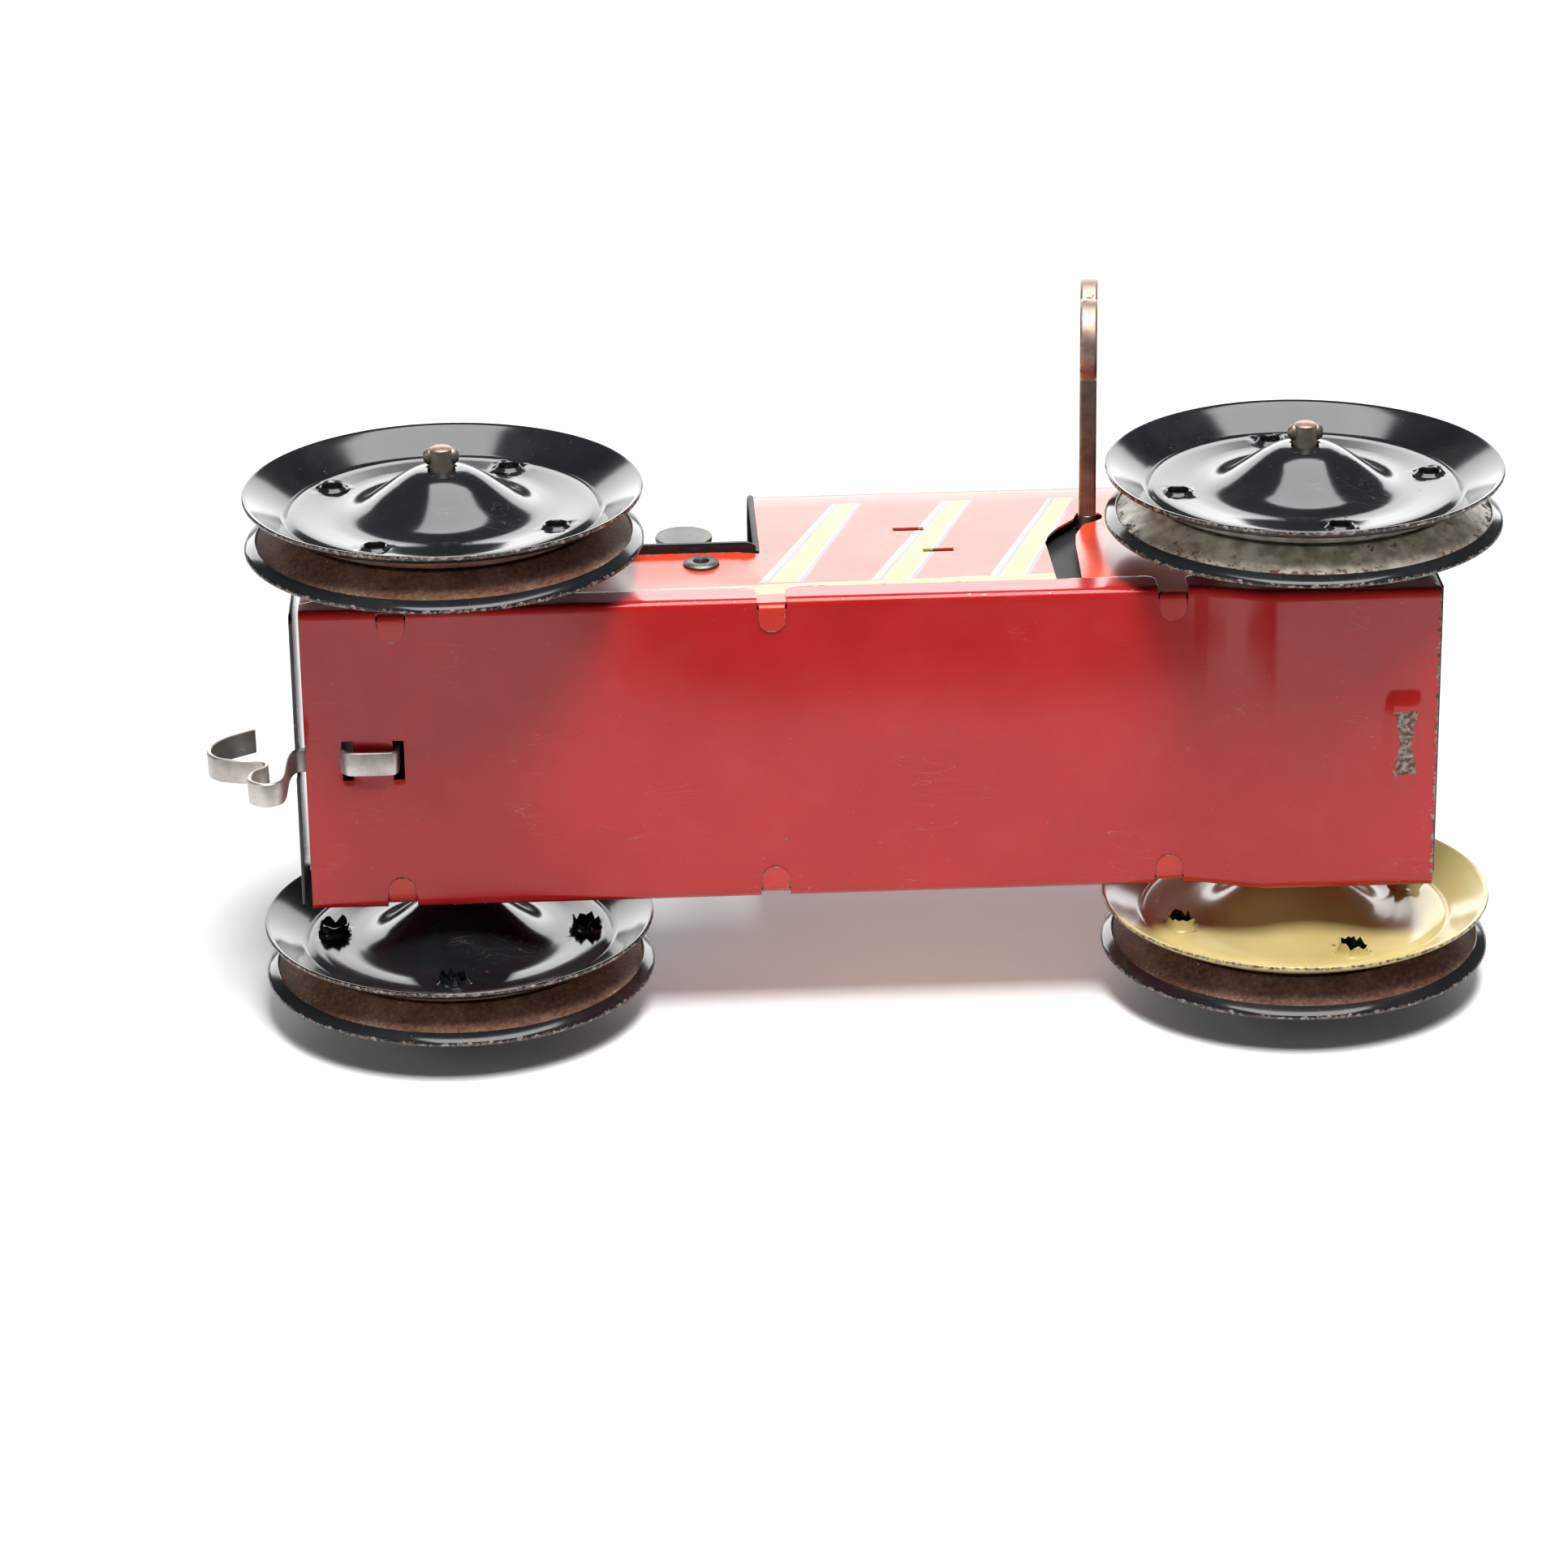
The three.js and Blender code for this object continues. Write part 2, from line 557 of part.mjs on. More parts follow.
function startStopLever() {
  const [y0, y1] = [-SIDE_INNER + GAP, -SIDE_INNER + GAP + 0.8];
  const upper = link(0, 0, 3.8, LEVER_PADDLE_X - LEVER_X, LEVER_PADDLE_Z - LEVER_Z, 2.4);
  const lugX = anchor.x - 8.2 - LEVER_X;
  const lugZ = anchor.z - 5.4 - LEVER_Z;
  const finger = link(0, 0, 3.8, lugX, lugZ + 0.7, 1.2);
  const lug = block([lugX - 0.6, y0, lugZ], [lugX + 0.6, -12.4, lugZ + 1.4]);
  const paddle = bar(LEVER_PADDLE_RADIUS, y0, y1, LEVER_PADDLE_X - LEVER_X, LEVER_PADDLE_Z - LEVER_Z, 20);
  const lever = join(across(upper, y0, y1, 5), across(finger, y0, y1, 4), lug, paddle);
  return cut(lever, bar(LEVER_HOLE, y0 - 1, y1 + 1, 0, 0, 12));
}

function leverRivet() {
  const outer = -SIDE_OUTER - GAP;
  const inner = -SIDE_INNER + GAP + 0.8 + GAP;
  return turned([
    [1, outer - 0.6], [3.1, outer - 0.6], [3.1, outer], [1.6, outer],
    [1.6, inner], [2.8, inner], [2.8, inner + 0.5], [1, inner + 0.5],
  ], 16);
}

// ---------------------------------------------------------------- finishes

function finish(colour, roughness, metalness) {
  return () => new THREE.MeshStandardMaterial({ color: colour, roughness, metalness });
}

const orangePaint = finish(0xe0452a, 0.3, 0.1);
const redPaint = finish(0xa5262a, 0.3, 0.1);
const blackPaint = finish(0x14161a, 0.25, 0.1);
const olivePaint = finish(0xaf9f62, 0.35, 0.1);
const steel = finish(0x8c867c, 0.5, 0.9);
const rustySteel = finish(0x7a5444, 0.7, 0.6);
const brass = finish(0xb89a55, 0.4, 0.9);
const springSteel = finish(0x55585e, 0.35, 0.95);

// ---------------------------------------------------------------- assembly

const tractor = new THREE.Group();

function place(parent, name, manifold, material, position = [0, 0, 0], rotation = [0, 0, 0]) {
  const mesh = new THREE.Mesh(geometryOf(manifold), material());
  mesh.name = name;
  mesh.position.set(...position);
  mesh.rotation.set(...rotation);
  parent.add(mesh);
}

place(tractor, 'body_shell', bodyShell(), orangePaint);
place(tractor, 'bottom_pan', bottomPan(), redPaint);
place(tractor, 'rear_wall', rearWall(), blackPaint);
place(tractor, 'radiator_front', radiatorFront(), blackPaint);
place(tractor, 'rear_deck', rearDeck(), blackPaint);
place(tractor, 'dash_panel', dashPanel(), blackPaint);
place(tractor, 'driver_seat', driverSeat(), blackPaint);
place(tractor, 'tow_hook', towHook(), steel);

// The column leans back from the dash, towards the seat.
const columnWay = new THREE.Vector3(-0.88, 0, 0.47).normalize();
const column = new THREE.Group();
column.position.set(DASH_X + 3, 0, COLUMN_FOOT_Z - 1.2);
column.quaternion.setFromUnitVectors(new THREE.Vector3(0, 1, 0), columnWay);
tractor.add(column);
place(column, 'steering_column', steeringColumn(), steel);
place(column, 'steering_wheel', steeringWheel(), blackPaint, [0, 19.6, 0]);

// Each axle carries two wheels, and each wheel is an outer and an inner disc.
for (const [end, sign] of [['rear', -1], ['front', 1]]) {
  const set = new THREE.Group();
  set.position.set((sign * WHEELBASE) / 2, 0, AXLE_HEIGHT);
  tractor.add(set);
  place(set, `${end}_axle`, axle(), rustySteel);
  for (const [side, way] of [['right', -1], ['left', 1]]) {
    const middle = way * WHEEL_TRACK;
    const outward = way > 0 ? 0 : Math.PI;
    const olive = end === 'front' && side === 'left';
    place(set, `${end}_${side}_outer_disc`, wheelDisc(), blackPaint, [0, middle, 0], [outward, 0, 0]);
    place(set, `${end}_${side}_inner_disc`, wheelDisc(), olive ? olivePaint : blackPaint,
      [0, middle, 0], [outward + Math.PI, 0, 0]);
  }
  if (end === 'front') {
    const drivePhase = meshedPhase(great, drive, 0);
    const phase = meshedPhase(drive, frontAxle, drivePhase);
    place(set, 'axle_gear', gear(AXLE_GEAR_TEETH, MODULE_DRIVE, -12, -10.4, AXLE_RADIUS + GAP), brass,
      [0, 0, 0], [0, -phase, 0]);
  }
}

place(tractor, 'motor_plate_right', rightMotorPlate(), blackPaint);
place(tractor, 'motor_plate_left', motorPlate(INNER_LEFT), steel);
pillars.forEach(([x, z], i) => {
  place(tractor, `frame_pillar_${i + 1}`, framePillar(), steel, [x, 0, z]);
});

const atArbor = (spot) => [spot.x, 0, spot.z];
place(tractor, 'winding_arbor', windingArbor(), rustySteel, atArbor(great), [0, KEY_TURN, 0]);
place(tractor, 'key_grip', keyGrip(), rustySteel, atArbor(great), [0, KEY_TURN, 0]);
place(tractor, 'ratchet_wheel', sawWheel(RATCHET_TEETH, 6, 4.8, -19.4, -18.2, ARBOR_RADIUS + GAP), steel,
  atArbor(great));
place(tractor, 'mainspring', mainspring(), springSteel, atArbor(great));
place(tractor, 'great_wheel', greatWheel(), brass, atArbor(great));

place(tractor, 'click', click(), steel, [great.x + clickStud.x, 0, great.z + clickStud.z]);
place(tractor, 'click_spring', clickSpring(), springSteel, atArbor(great));
place(tractor, 'drive_pinion', drivePinion(), steel, atArbor(drive), [0, -meshedPhase(great, drive, 0), 0]);

const secondPhase = meshedPhase(great, second, 0);
place(tractor, 'second_arbor', secondArbor(), steel, atArbor(second), [0, -secondPhase, 0]);
place(tractor, 'second_wheel', gear(SECOND_WHEEL_TEETH, MODULE_FINE, -5.4, -4.2, PLAIN_RADIUS + GAP), brass, atArbor(second));
const secondWheel = { ...second, teeth: SECOND_WHEEL_TEETH };
place(tractor, 'escape_arbor', escapeArbor(), steel, atArbor(escape), [0, -meshedPhase(secondWheel, escape, 0), 0]);
place(tractor, 'escape_wheel', sawWheel(ESCAPE_TEETH, 7.4, 5, -14, -13, PLAIN_RADIUS + GAP), brass, atArbor(escape));
place(tractor, 'escape_anchor', escapeAnchor(), steel, atArbor(anchor));
place(tractor, 'start_stop_lever', startStopLever(), steel, [LEVER_X, 0, LEVER_Z]);
place(tractor, 'lever_rivet', leverRivet(), steel, [LEVER_X, 0, LEVER_Z]);

export default tractor;
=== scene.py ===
"""Looks for the clockwork tin tractor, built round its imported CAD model.

Blender works in metres in the CAD frame: X forward, Y to the tractor's left, Z up. The numbers
below are in millimetres, and MM turns them into metres where a mesh is made. The photographed
tractor lies on its left wheels, so the table is an upright plane at the ends of its left axles.
"""

import math
import random

import bmesh
import bpy
from mathutils import Matrix, Vector, noise


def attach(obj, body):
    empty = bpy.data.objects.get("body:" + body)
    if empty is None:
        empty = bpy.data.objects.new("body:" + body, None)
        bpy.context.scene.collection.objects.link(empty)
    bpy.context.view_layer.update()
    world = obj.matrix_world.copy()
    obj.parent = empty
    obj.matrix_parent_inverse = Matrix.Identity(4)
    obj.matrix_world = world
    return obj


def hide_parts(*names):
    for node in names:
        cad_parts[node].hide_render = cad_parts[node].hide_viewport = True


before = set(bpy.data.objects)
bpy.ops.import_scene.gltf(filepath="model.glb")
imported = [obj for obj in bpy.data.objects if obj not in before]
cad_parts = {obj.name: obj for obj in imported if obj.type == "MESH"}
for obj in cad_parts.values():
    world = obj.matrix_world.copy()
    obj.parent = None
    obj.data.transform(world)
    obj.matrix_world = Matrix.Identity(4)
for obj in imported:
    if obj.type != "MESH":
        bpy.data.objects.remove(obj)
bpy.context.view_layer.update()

MM = 0.001
AXLES = {"rear": -71.3, "front": 71.3}
AXLE_HEIGHT = 13
WHEEL_TRACK = 38.3              # centre line to the middle of a wheel's groove
RIM_RADIUS = 33
BODY_REAR = -95.4
BODY_FRONT = 92.2
SIDE = 25.85                    # outer face of the side panels
HOOD_REAR = -19
HOOD_TOP = 58
HOOD_CORNER = 7
DECK = 24
PAN_SIDE = 26.6
TAB_PLACES = (-80.3, -17.8, 48.3)
ARBOR = (37.7, 37.5)
LEVER = (-28.8, 19)
PADDLE = (-31.3, 36.3)
LEVER_HOLE = 1.9                # through the side panel, for the lever's rivet
ANCHOR = (-8.703, 22.506)       # x and z of the escape anchor's arbor, as in the CAD
TRAIN = ((57.862, 26.432), (17.027, 29.976), (3.251, 23.552), ANCHOR)
TABLE = 50.35                   # the axle ends rest on the table
KEY_TURN = 0.0995               # radians: where the run-down spring left the key


# ---- node materials

class Shader:
    """A node material. Each method adds one or two nodes and gives back an output."""

    def __init__(self, name, ior=1.5):
        self.material = bpy.data.materials.new(name)
        self.material.use_nodes = True
        self.tree = self.material.node_tree
        self.surface = self.tree.nodes["Principled BSDF"]
        self.surface.inputs["IOR"].default_value = ior
        self.place = self.node("TexCoord").outputs["Object"]

    def node(self, kind, inputs=None, **settings):
        made = self.tree.nodes.new("ShaderNode" + kind)
        for key, value in settings.items():
            setattr(made, key, value)
        for key, value in (inputs or {}).items():
            self.feed(made.inputs[key], value)
        return made

    def feed(self, socket, value):
        if isinstance(value, bpy.types.NodeSocket):
            self.tree.links.new(value, socket)
        else:
            socket.default_value = value

    def math(self, operation, *values):
        made = self.node("Math", dict(enumerate(values)), operation=operation)
        return made.outputs[0]

    def step(self, value, low, high):
        """0 below low, 1 above high, smooth between; low may be the higher number."""
        ends = {"Value": value, "From Min": low, "From Max": high}
        return self.node("MapRange", ends, interpolation_type="SMOOTHSTEP").outputs[0]

    def span(self, value, low, high):
        """Value scaled so that 0 becomes low and 1 becomes high."""
        return self.node("MapRange", {"Value": value, "To Min": low, "To Max": high}).outputs[0]

    def noise(self, size, detail=4.0, stretch=(1, 1, 1), shift=(0, 0, 0), roughness=0.55):
        """Noise with features of about that size in millimetres."""
        scale = tuple(1 / (size * MM * s) for s in stretch)
        place = self.node("Mapping", {"Vector": self.place, "Scale": scale, "Location": shift})
        settings = {"Vector": place.outputs[0], "Scale": 1.0, "Detail": detail, "Roughness": roughness}
        return self.node("TexNoise", settings).outputs[0]

    def mix(self, factor, first, second):
        made = self.node("Mix", {0: factor, 6: first, 7: second}, data_type="RGBA")
        return made.outputs[2]

    def axes(self):
        """The place on the piece, in millimetres, as three numbers."""
        scaled = self.node("VectorMath", {0: self.place, 3: 1 / MM}, operation="SCALE")
        return self.node("SeparateXYZ", {0: scaled.outputs[0]}).outputs

    def wear(self):
        return self.node("Attribute", attribute_name="wear").outputs["Fac"]

    def hairlines(self, angle, shift):
        """Long thin scratches, where a noise stretched along one direction crosses its middle value."""
        turned = self.node("VectorRotate", {"Vector": self.place, "Angle": angle}, rotation_type="Y_AXIS")
        turned = self.node("VectorRotate", {"Vector": turned.outputs[0], "Angle": angle},
                           rotation_type="Z_AXIS")
        scale = (1 / (45 * MM), 1 / (2.5 * MM), 1 / (2.5 * MM))     # long one way, thin the others
        place = self.node("Mapping", {"Vector": turned.outputs[0], "Scale": scale, "Location": shift})
        settings = {"Vector": place.outputs[0], "Scale": 1.0, "Detail": 1.0}
        field = self.node("TexNoise", settings).outputs[0]
        off = self.math("ABSOLUTE", self.math("SUBTRACT", field, 0.5))
        return self.step(off, 0.0035, 0.001)

    def bump(self, height, distance, strength=0.5):
        settings = {"Height": height, "Distance": distance * MM, "Strength": strength}
        self.feed(self.surface.inputs["Normal"], self.node("Bump", settings).outputs[0])

    def done(self, colour, roughness, metallic=None):
        self.feed(self.surface.inputs["Base Color"], colour)
        self.feed(self.surface.inputs["Roughness"], roughness)
        if metallic is not None:
            self.feed(self.surface.inputs["Metallic"], metallic)
        return self.material


def rgb(red, green, blue):
    return (red, green, blue, 1.0)


BARE = rgb(0.26, 0.23, 0.20)
RUST = rgb(0.085, 0.040, 0.025)
DUST = rgb(0.30, 0.27, 0.22)
PAINT_IOR = 1.46


def paint(name, deep, pale, rough, decor=None, dust=0.25, scratch=0.2, shift=(0, 0, 0)):
    """Gloss paint or litho ink on tinplate: mottling, dust, hairline scratches and worn edges."""
    s = Shader(name, ior=PAINT_IOR)
    mottle = s.noise(22, 3, shift=shift)
    colour = s.mix(s.step(mottle, 0.3, 0.7), deep, pale)
    if decor:
        colour = decor(s, colour)
    few = s.step(s.noise(16, 2, shift=(3, 1, 4)), 0.56, 0.66)
    hair = s.math("MAXIMUM", s.hairlines(0.12, shift), s.hairlines(-0.16, (5, 5, 5)))
    lines = s.math("MULTIPLY", hair, s.math("MULTIPLY", few, scratch))
    colour = s.mix(lines, colour, DUST)
    specks = s.step(s.noise(0.55, 1, shift=shift), 0.74, 0.80)
    film = s.step(s.noise(7, 5, shift=(8, 0, 2)), 0.48, 0.75)
    grime = s.math("MULTIPLY", s.math("MAXIMUM", specks, s.math("MULTIPLY", film, 0.08)), dust)
    colour = s.mix(grime, colour, DUST)
    chips = s.step(s.noise(1.9, 4, shift=(6, 6, 1)), 0.73, 0.75)
    rubbed = s.math("ADD", s.wear(), s.span(s.noise(0.9, 6, shift=shift), -0.6, 0.6))
    worn = s.math("MAXIMUM", s.step(rubbed, 0.58, 0.68), s.math("MULTIPLY", chips, 0.7))
    bare = s.mix(s.step(s.noise(0.8, 5, shift=(9, 2, 5)), 0.40, 0.62), RUST, BARE)
    colour = s.mix(worn, colour, bare)
    gloss = s.span(s.noise(9, 6, shift=(2, 7, 1)), rough * 0.75, rough * 1.35)
    roughness = s.math("MAXIMUM", s.math("ADD", gloss, s.math("MULTIPLY", lines, 0.2)),
                       s.math("MULTIPLY", worn, 0.5))
    relief = s.math("SUBTRACT", s.math("MULTIPLY", s.noise(3.5, 2), 0.35),
                    s.math("ADD", s.math("MULTIPLY", lines, 0.05), s.math("MULTIPLY", worn, 0.6)))
    s.bump(relief, 0.04, 0.3)
    return s.done(colour, roughness, s.math("MULTIPLY", worn, 0.5))


def metal(name, bright, dark, rust_share, rough, grain=(1, 1, 1), shift=(0, 0, 0)):
    """Bare sheet or wire: grain, tarnish, and rust in patches that cover about the given share."""
    s = Shader(name)
    tarnish = s.step(s.noise(5, 6, shift=shift), 0.35, 0.68)
    colour = s.mix(tarnish, dark, bright)
    field = s.math("ADD", s.noise(3, 8, shift=(5, 3, 8), roughness=0.65),
                   s.math("MULTIPLY", s.noise(0.4, 3), 0.1))
    edge = 0.74 - 0.4 * rust_share
    rust = s.step(field, edge, edge + 0.06)
    crust = s.mix(s.noise(0.8, 5, shift=(1, 1, 9)), rgb(0.06, 0.028, 0.018), rgb(0.20, 0.10, 0.06))
    colour = s.mix(rust, colour, crust)
    lines = s.noise(0.6, 3, grain)
    colour = s.mix(s.step(s.noise(0.35, 2), 0.66, 0.74), colour, DUST)
    roughness = s.math("ADD", s.span(lines, rough * 0.8, rough * 1.25), s.math("MULTIPLY", rust, 0.35))
    relief = s.math("ADD", s.math("MULTIPLY", lines, 0.3), s.math("MULTIPLY", rust, 0.6))
    s.bump(relief, 0.05, 0.4)
    return s.done(colour, roughness, s.math("SUBTRACT", 0.9, s.math("MULTIPLY", rust, 0.8)))


STRIPE_GREY = rgb(0.16, 0.15, 0.15)
STRIPE_YELLOW = rgb(0.60, 0.44, 0.07)
STRIPE_FOOT, STRIPE_RISE = 10.0, 36.0
# A slanted stripe on each side: its rear edge's x at the foot, the same 36 higher, and its widths there.
STRIPES = ((-19.6, -6.0, 7.4, 5.2), (-0.9, 12.9, 7.2, 5.4), (18.7, 31.3, 6.6, 4.9))
STRIPE_BANDS = (                # share of the stripe's width where each band starts, and its colour
    (0.00, rgb(0.80, 0.30, 0.22)),
    (0.15, STRIPE_GREY),
    (0.27, STRIPE_YELLOW),
    (0.84, rgb(0.80, 0.50, 0.36)),
    (0.89, STRIPE_GREY),
)


def litho(s, colour):
    """The printed stripes of the side panels and the band below them, the same on both sides."""
    x, y, z = s.axes()
    side = s.math("GREATER_THAN", s.math("ABSOLUTE", y), SIDE - 1.5)
    share = s.math("DIVIDE", s.math("SUBTRACT", z, STRIPE_FOOT), STRIPE_RISE)
    upper = s.math("GREATER_THAN", z, 10.2)
    for low_x, high_x, low_width, high_width in STRIPES:
        rear = s.math("MULTIPLY_ADD", share, high_x - low_x, low_x)
        width = s.math("MULTIPLY_ADD", share, high_width - low_width, low_width)
        breadth = s.math("DIVIDE", s.math("SUBTRACT", x, rear), width)
        bands = s.node("ValToRGB", {"Fac": breadth})
        bands.color_ramp.interpolation = "CONSTANT"
        for start, tint in STRIPE_BANDS[2:]:
            bands.color_ramp.elements.new(start).color = tint
        for element, (start, tint) in zip(bands.color_ramp.elements, STRIPE_BANDS):
            element.position, element.color = start, tint
        inside = s.math("MULTIPLY", s.step(breadth, -0.01, 0.01), s.step(breadth, 1.01, 0.99))
        inside = s.math("MULTIPLY", s.math("MULTIPLY", inside, side),
                        s.math("MULTIPLY", upper, s.math("LESS_THAN", z, 47.4)))
        colour = s.mix(inside, colour, bands.outputs[0])
    middle = s.math("MULTIPLY_ADD", x, 0.034, 7.6)
    off = s.math("ABSOLUTE", s.math("SUBTRACT", z, middle))
    reach = s.math("MULTIPLY", side, s.math("LESS_THAN", x, 30.4))
    colour = s.mix(s.math("MULTIPLY", reach, s.step(off, 2.35, 2.25)), colour, STRIPE_GREY)
    return s.mix(s.math("MULTIPLY", reach, s.step(off, 2.0, 1.9)), colour, STRIPE_YELLOW)


def groove_metal(name, clean, shift):
    """The inside of a wheel's groove, where the track ran: brown rust and dust, or tin with rust specks."""
    s = Shader(name)
    x, _y, z = s.axes()
    radius = s.math("SQRT", s.math("ADD", s.math("POWER", x, 2.0), s.math("POWER", z, 2.0)))
    near_lip = s.step(radius, 29.0, 31.4)
    fine = s.noise(0.8, 8, shift=shift, roughness=0.7)
    broad = s.noise(9, 4, shift=shift)
    brown = s.mix(s.step(fine, 0.3, 0.72), rgb(0.050, 0.022, 0.014), rgb(0.24, 0.105, 0.064))
    brown = s.mix(s.step(broad, 0.42, 0.7), brown, rgb(0.21, 0.115, 0.075))
    powder = s.math("MULTIPLY", s.step(s.noise(0.5, 6, shift=(2, 4, 6)), 0.52, 0.66),
                    s.step(broad, 0.44, 0.62))
    powder = s.math("MULTIPLY", powder, s.span(near_lip, 0.25, 0.75))
    brown = s.mix(powder, brown, rgb(0.50, 0.44, 0.36))
    tin = s.mix(s.step(s.noise(2.5, 5, shift=(7, 7, 0)), 0.35, 0.65), DUST, rgb(0.56, 0.53, 0.46))
    spots = s.math("ADD", s.noise(1.6, 8, shift=(1, 2, 3), roughness=0.7), s.span(near_lip, -0.05, 0.075))
    spots = s.math("ADD", spots, s.span(s.noise(12, 2, shift=(0, 3, 9)), -0.12, 0.12))
    rust = s.step(spots, 0.60 + clean, 0.64 + clean)
    colour = s.mix(rust, tin, brown)
    s.bump(s.math("ADD", fine, s.math("MULTIPLY", rust, 0.4)), 0.06, 0.5)
    return s.done(colour, s.span(rust, 0.38, 0.75), s.span(rust, 0.45, 0.0))


BLACK_DEEP, BLACK_PALE = rgb(0.005, 0.0055, 0.0065), rgb(0.010, 0.011, 0.013)
black = paint("black_enamel", BLACK_DEEP, BLACK_PALE, 0.12)
dull_black = paint("dull_black", BLACK_DEEP, BLACK_PALE, 0.5)
olive = paint("olive_litho", rgb(0.40, 0.32, 0.12), rgb(0.48, 0.40, 0.17), 0.15, dust=0.15)
red = paint("red_enamel", rgb(0.30, 0.0065, 0.006), rgb(0.34, 0.010, 0.010), 0.15, dust=0.2)
orange = paint("orange_litho", rgb(0.56, 0.038, 0.014), rgb(0.64, 0.052, 0.020), 0.2, litho, 0.15)
tab_orange = paint("tab_orange", rgb(0.36, 0.018, 0.009), rgb(0.40, 0.024, 0.013), 0.2, dust=0.2)
steel = metal("dull_steel", rgb(0.56, 0.52, 0.485), rgb(0.37, 0.335, 0.305), 0.12, 0.38)
dark_steel = metal("dark_steel", rgb(0.15, 0.145, 0.135), rgb(0.07, 0.065, 0.06), 0.1, 0.4)
rusty = metal("rusty_steel", rgb(0.44, 0.32, 0.27), rgb(0.24, 0.165, 0.13), 0.3, 0.45)
brown_steel = metal("brown_steel", rgb(0.32, 0.28, 0.235), rgb(0.17, 0.145, 0.12), 0.15, 0.42, (1, 4, 1))
zinc = metal("dull_zinc", rgb(0.17, 0.175, 0.155), rgb(0.12, 0.12, 0.11), 0.02, 0.45)
brass = metal("old_brass", rgb(0.62, 0.44, 0.16), rgb(0.30, 0.19, 0.07), 0.1, 0.33)
blued = metal("blued_spring", rgb(0.14, 0.16, 0.21), rgb(0.06, 0.065, 0.08), 0.1, 0.28)
copper = metal("axle_end", rgb(0.36, 0.225, 0.17), rgb(0.22, 0.14, 0.11), 0.1, 0.42)
groove_rusty = groove_metal("groove_rust", -0.35, (0, 0, 0))
groove_bare = groove_metal("groove_tin", -0.045, (4, 4, 4))
# A near-black metal for the inner faces of the shell and the pan, much darker than bare tinplate.
dark_inside = metal("dark_inside", rgb(0.10, 0.095, 0.085), rgb(0.05, 0.045, 0.04), 0.2, 0.5)
# Near-black paint at the bottom of the wheels' holes: painted shade that stands in for the depth of a
# pierced hole.
hole_shade = metal("painted_hole_shade", rgb(0.012, 0.010, 0.009), rgb(0.004, 0.004, 0.004), 0.1, 0.6)


# ---- meshes

def unwavering(_point):
    return 0.0


def face_outwards(mesh):
    work = bmesh.new()
    work.from_mesh(mesh)
    bmesh.ops.recalc_face_normals(work, faces=work.faces)
    work.to_mesh(mesh)
    work.free()


def build(name, points, faces, materials, picks=None, sharp=38, wear=unwavering, at=(0, 0, 0), closed=True):
    """A mesh piece from points in millimetres, with its own origin at a place in the CAD frame."""
    mesh = bpy.data.meshes.new(name)
    mesh.from_pydata([tuple(c * MM for c in point) for point in points], [], faces)
    if closed:
        face_outwards(mesh)
    for material in materials:
        mesh.materials.append(material)
    if picks:
        mesh.polygons.foreach_set("material_index", picks)
    mesh.validate()
    mesh.polygons.foreach_set("use_smooth", [True] * len(mesh.polygons))
    mesh.set_sharp_from_angle(angle=math.radians(sharp))
    marks = mesh.attributes.new("wear", "FLOAT", "POINT")
    marks.data.foreach_set("value", [wear(point) for point in points])
    mesh.update()
    piece = bpy.data.objects.new(name, mesh)
    piece.location = [c * MM for c in at]
    bpy.context.scene.collection.objects.link(piece)
    return piece


def own(piece, body, slot, *nodes):
    """The piece rides on the body and stands for the CAD nodes, which it hides. The slot is not used."""
    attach(piece, body)
    if nodes:
        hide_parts(*nodes)
    return piece


def modifier(piece, kind, **settings):
    made = piece.modifiers.new(kind.lower(), kind)
    for key, value in settings.items():
        setattr(made, key, value)
    return piece


def bevel(piece, width, segments=3):
    return modifier(piece, "BEVEL", width=width * MM, segments=segments, limit_method="ANGLE",
                    angle_limit=math.radians(30), harden_normals=False)


def ring_faces(rows, columns, closed_rows=False, closed_columns=True):
    """Quads between rows of points that each go round once, or run from end to end."""
    faces = []
    for i in range(rows if closed_rows else rows - 1):
        for j in range(columns if closed_columns else columns - 1):
            i2, j2 = (i + 1) % rows, (j + 1) % columns
            faces.append((i * columns + j, i * columns + j2, i2 * columns + j2, i2 * columns + j))
    return faces


def lathe(profile, segments=48):
    """A closed profile of (radius, y) turned about the Y axis."""
    points = []
    for radius, y in profile:
        for j in range(segments):
            angle = 2 * math.pi * j / segments
            points.append((radius * math.cos(angle), y, radius * math.sin(angle)))
    return points, ring_faces(len(profile), segments, closed_rows=True)


def prism(outline, low, high, place):
    """An outline of (u, v) made solid from low to high; place turns (u, v, w) into a point."""
    count = len(outline)
    points = [place(u, v, low) for u, v in outline] + [place(u, v, high) for u, v in outline]
    sides = [(i, (i + 1) % count, (i + 1) % count + count, i + count) for i in range(count)]
    return points, [tuple(reversed(range(count))), tuple(range(count, 2 * count)), *sides]


def along(u, v, w):
    """An outline in y and z, thick along the tractor."""
    return (w, u, v)


def across(u, v, w):
    """An outline in x and z, thick across the tractor."""
    return (u, w, v)


def merged(*parts):
    """Several (points, faces) as one."""
    points, faces = [], []
    for more_points, more_faces in parts:
        faces += [tuple(i + len(points) for i in face) for face in more_faces]
        points += more_points
    return points, faces


def arc(centre, radius, start, end, steps):
    """Points on an arc, in degrees."""
    angles = [math.radians(start + (end - start) * i / steps) for i in range(steps + 1)]
    return [(centre[0] + radius * math.cos(a), centre[1] + radius * math.sin(a)) for a in angles]


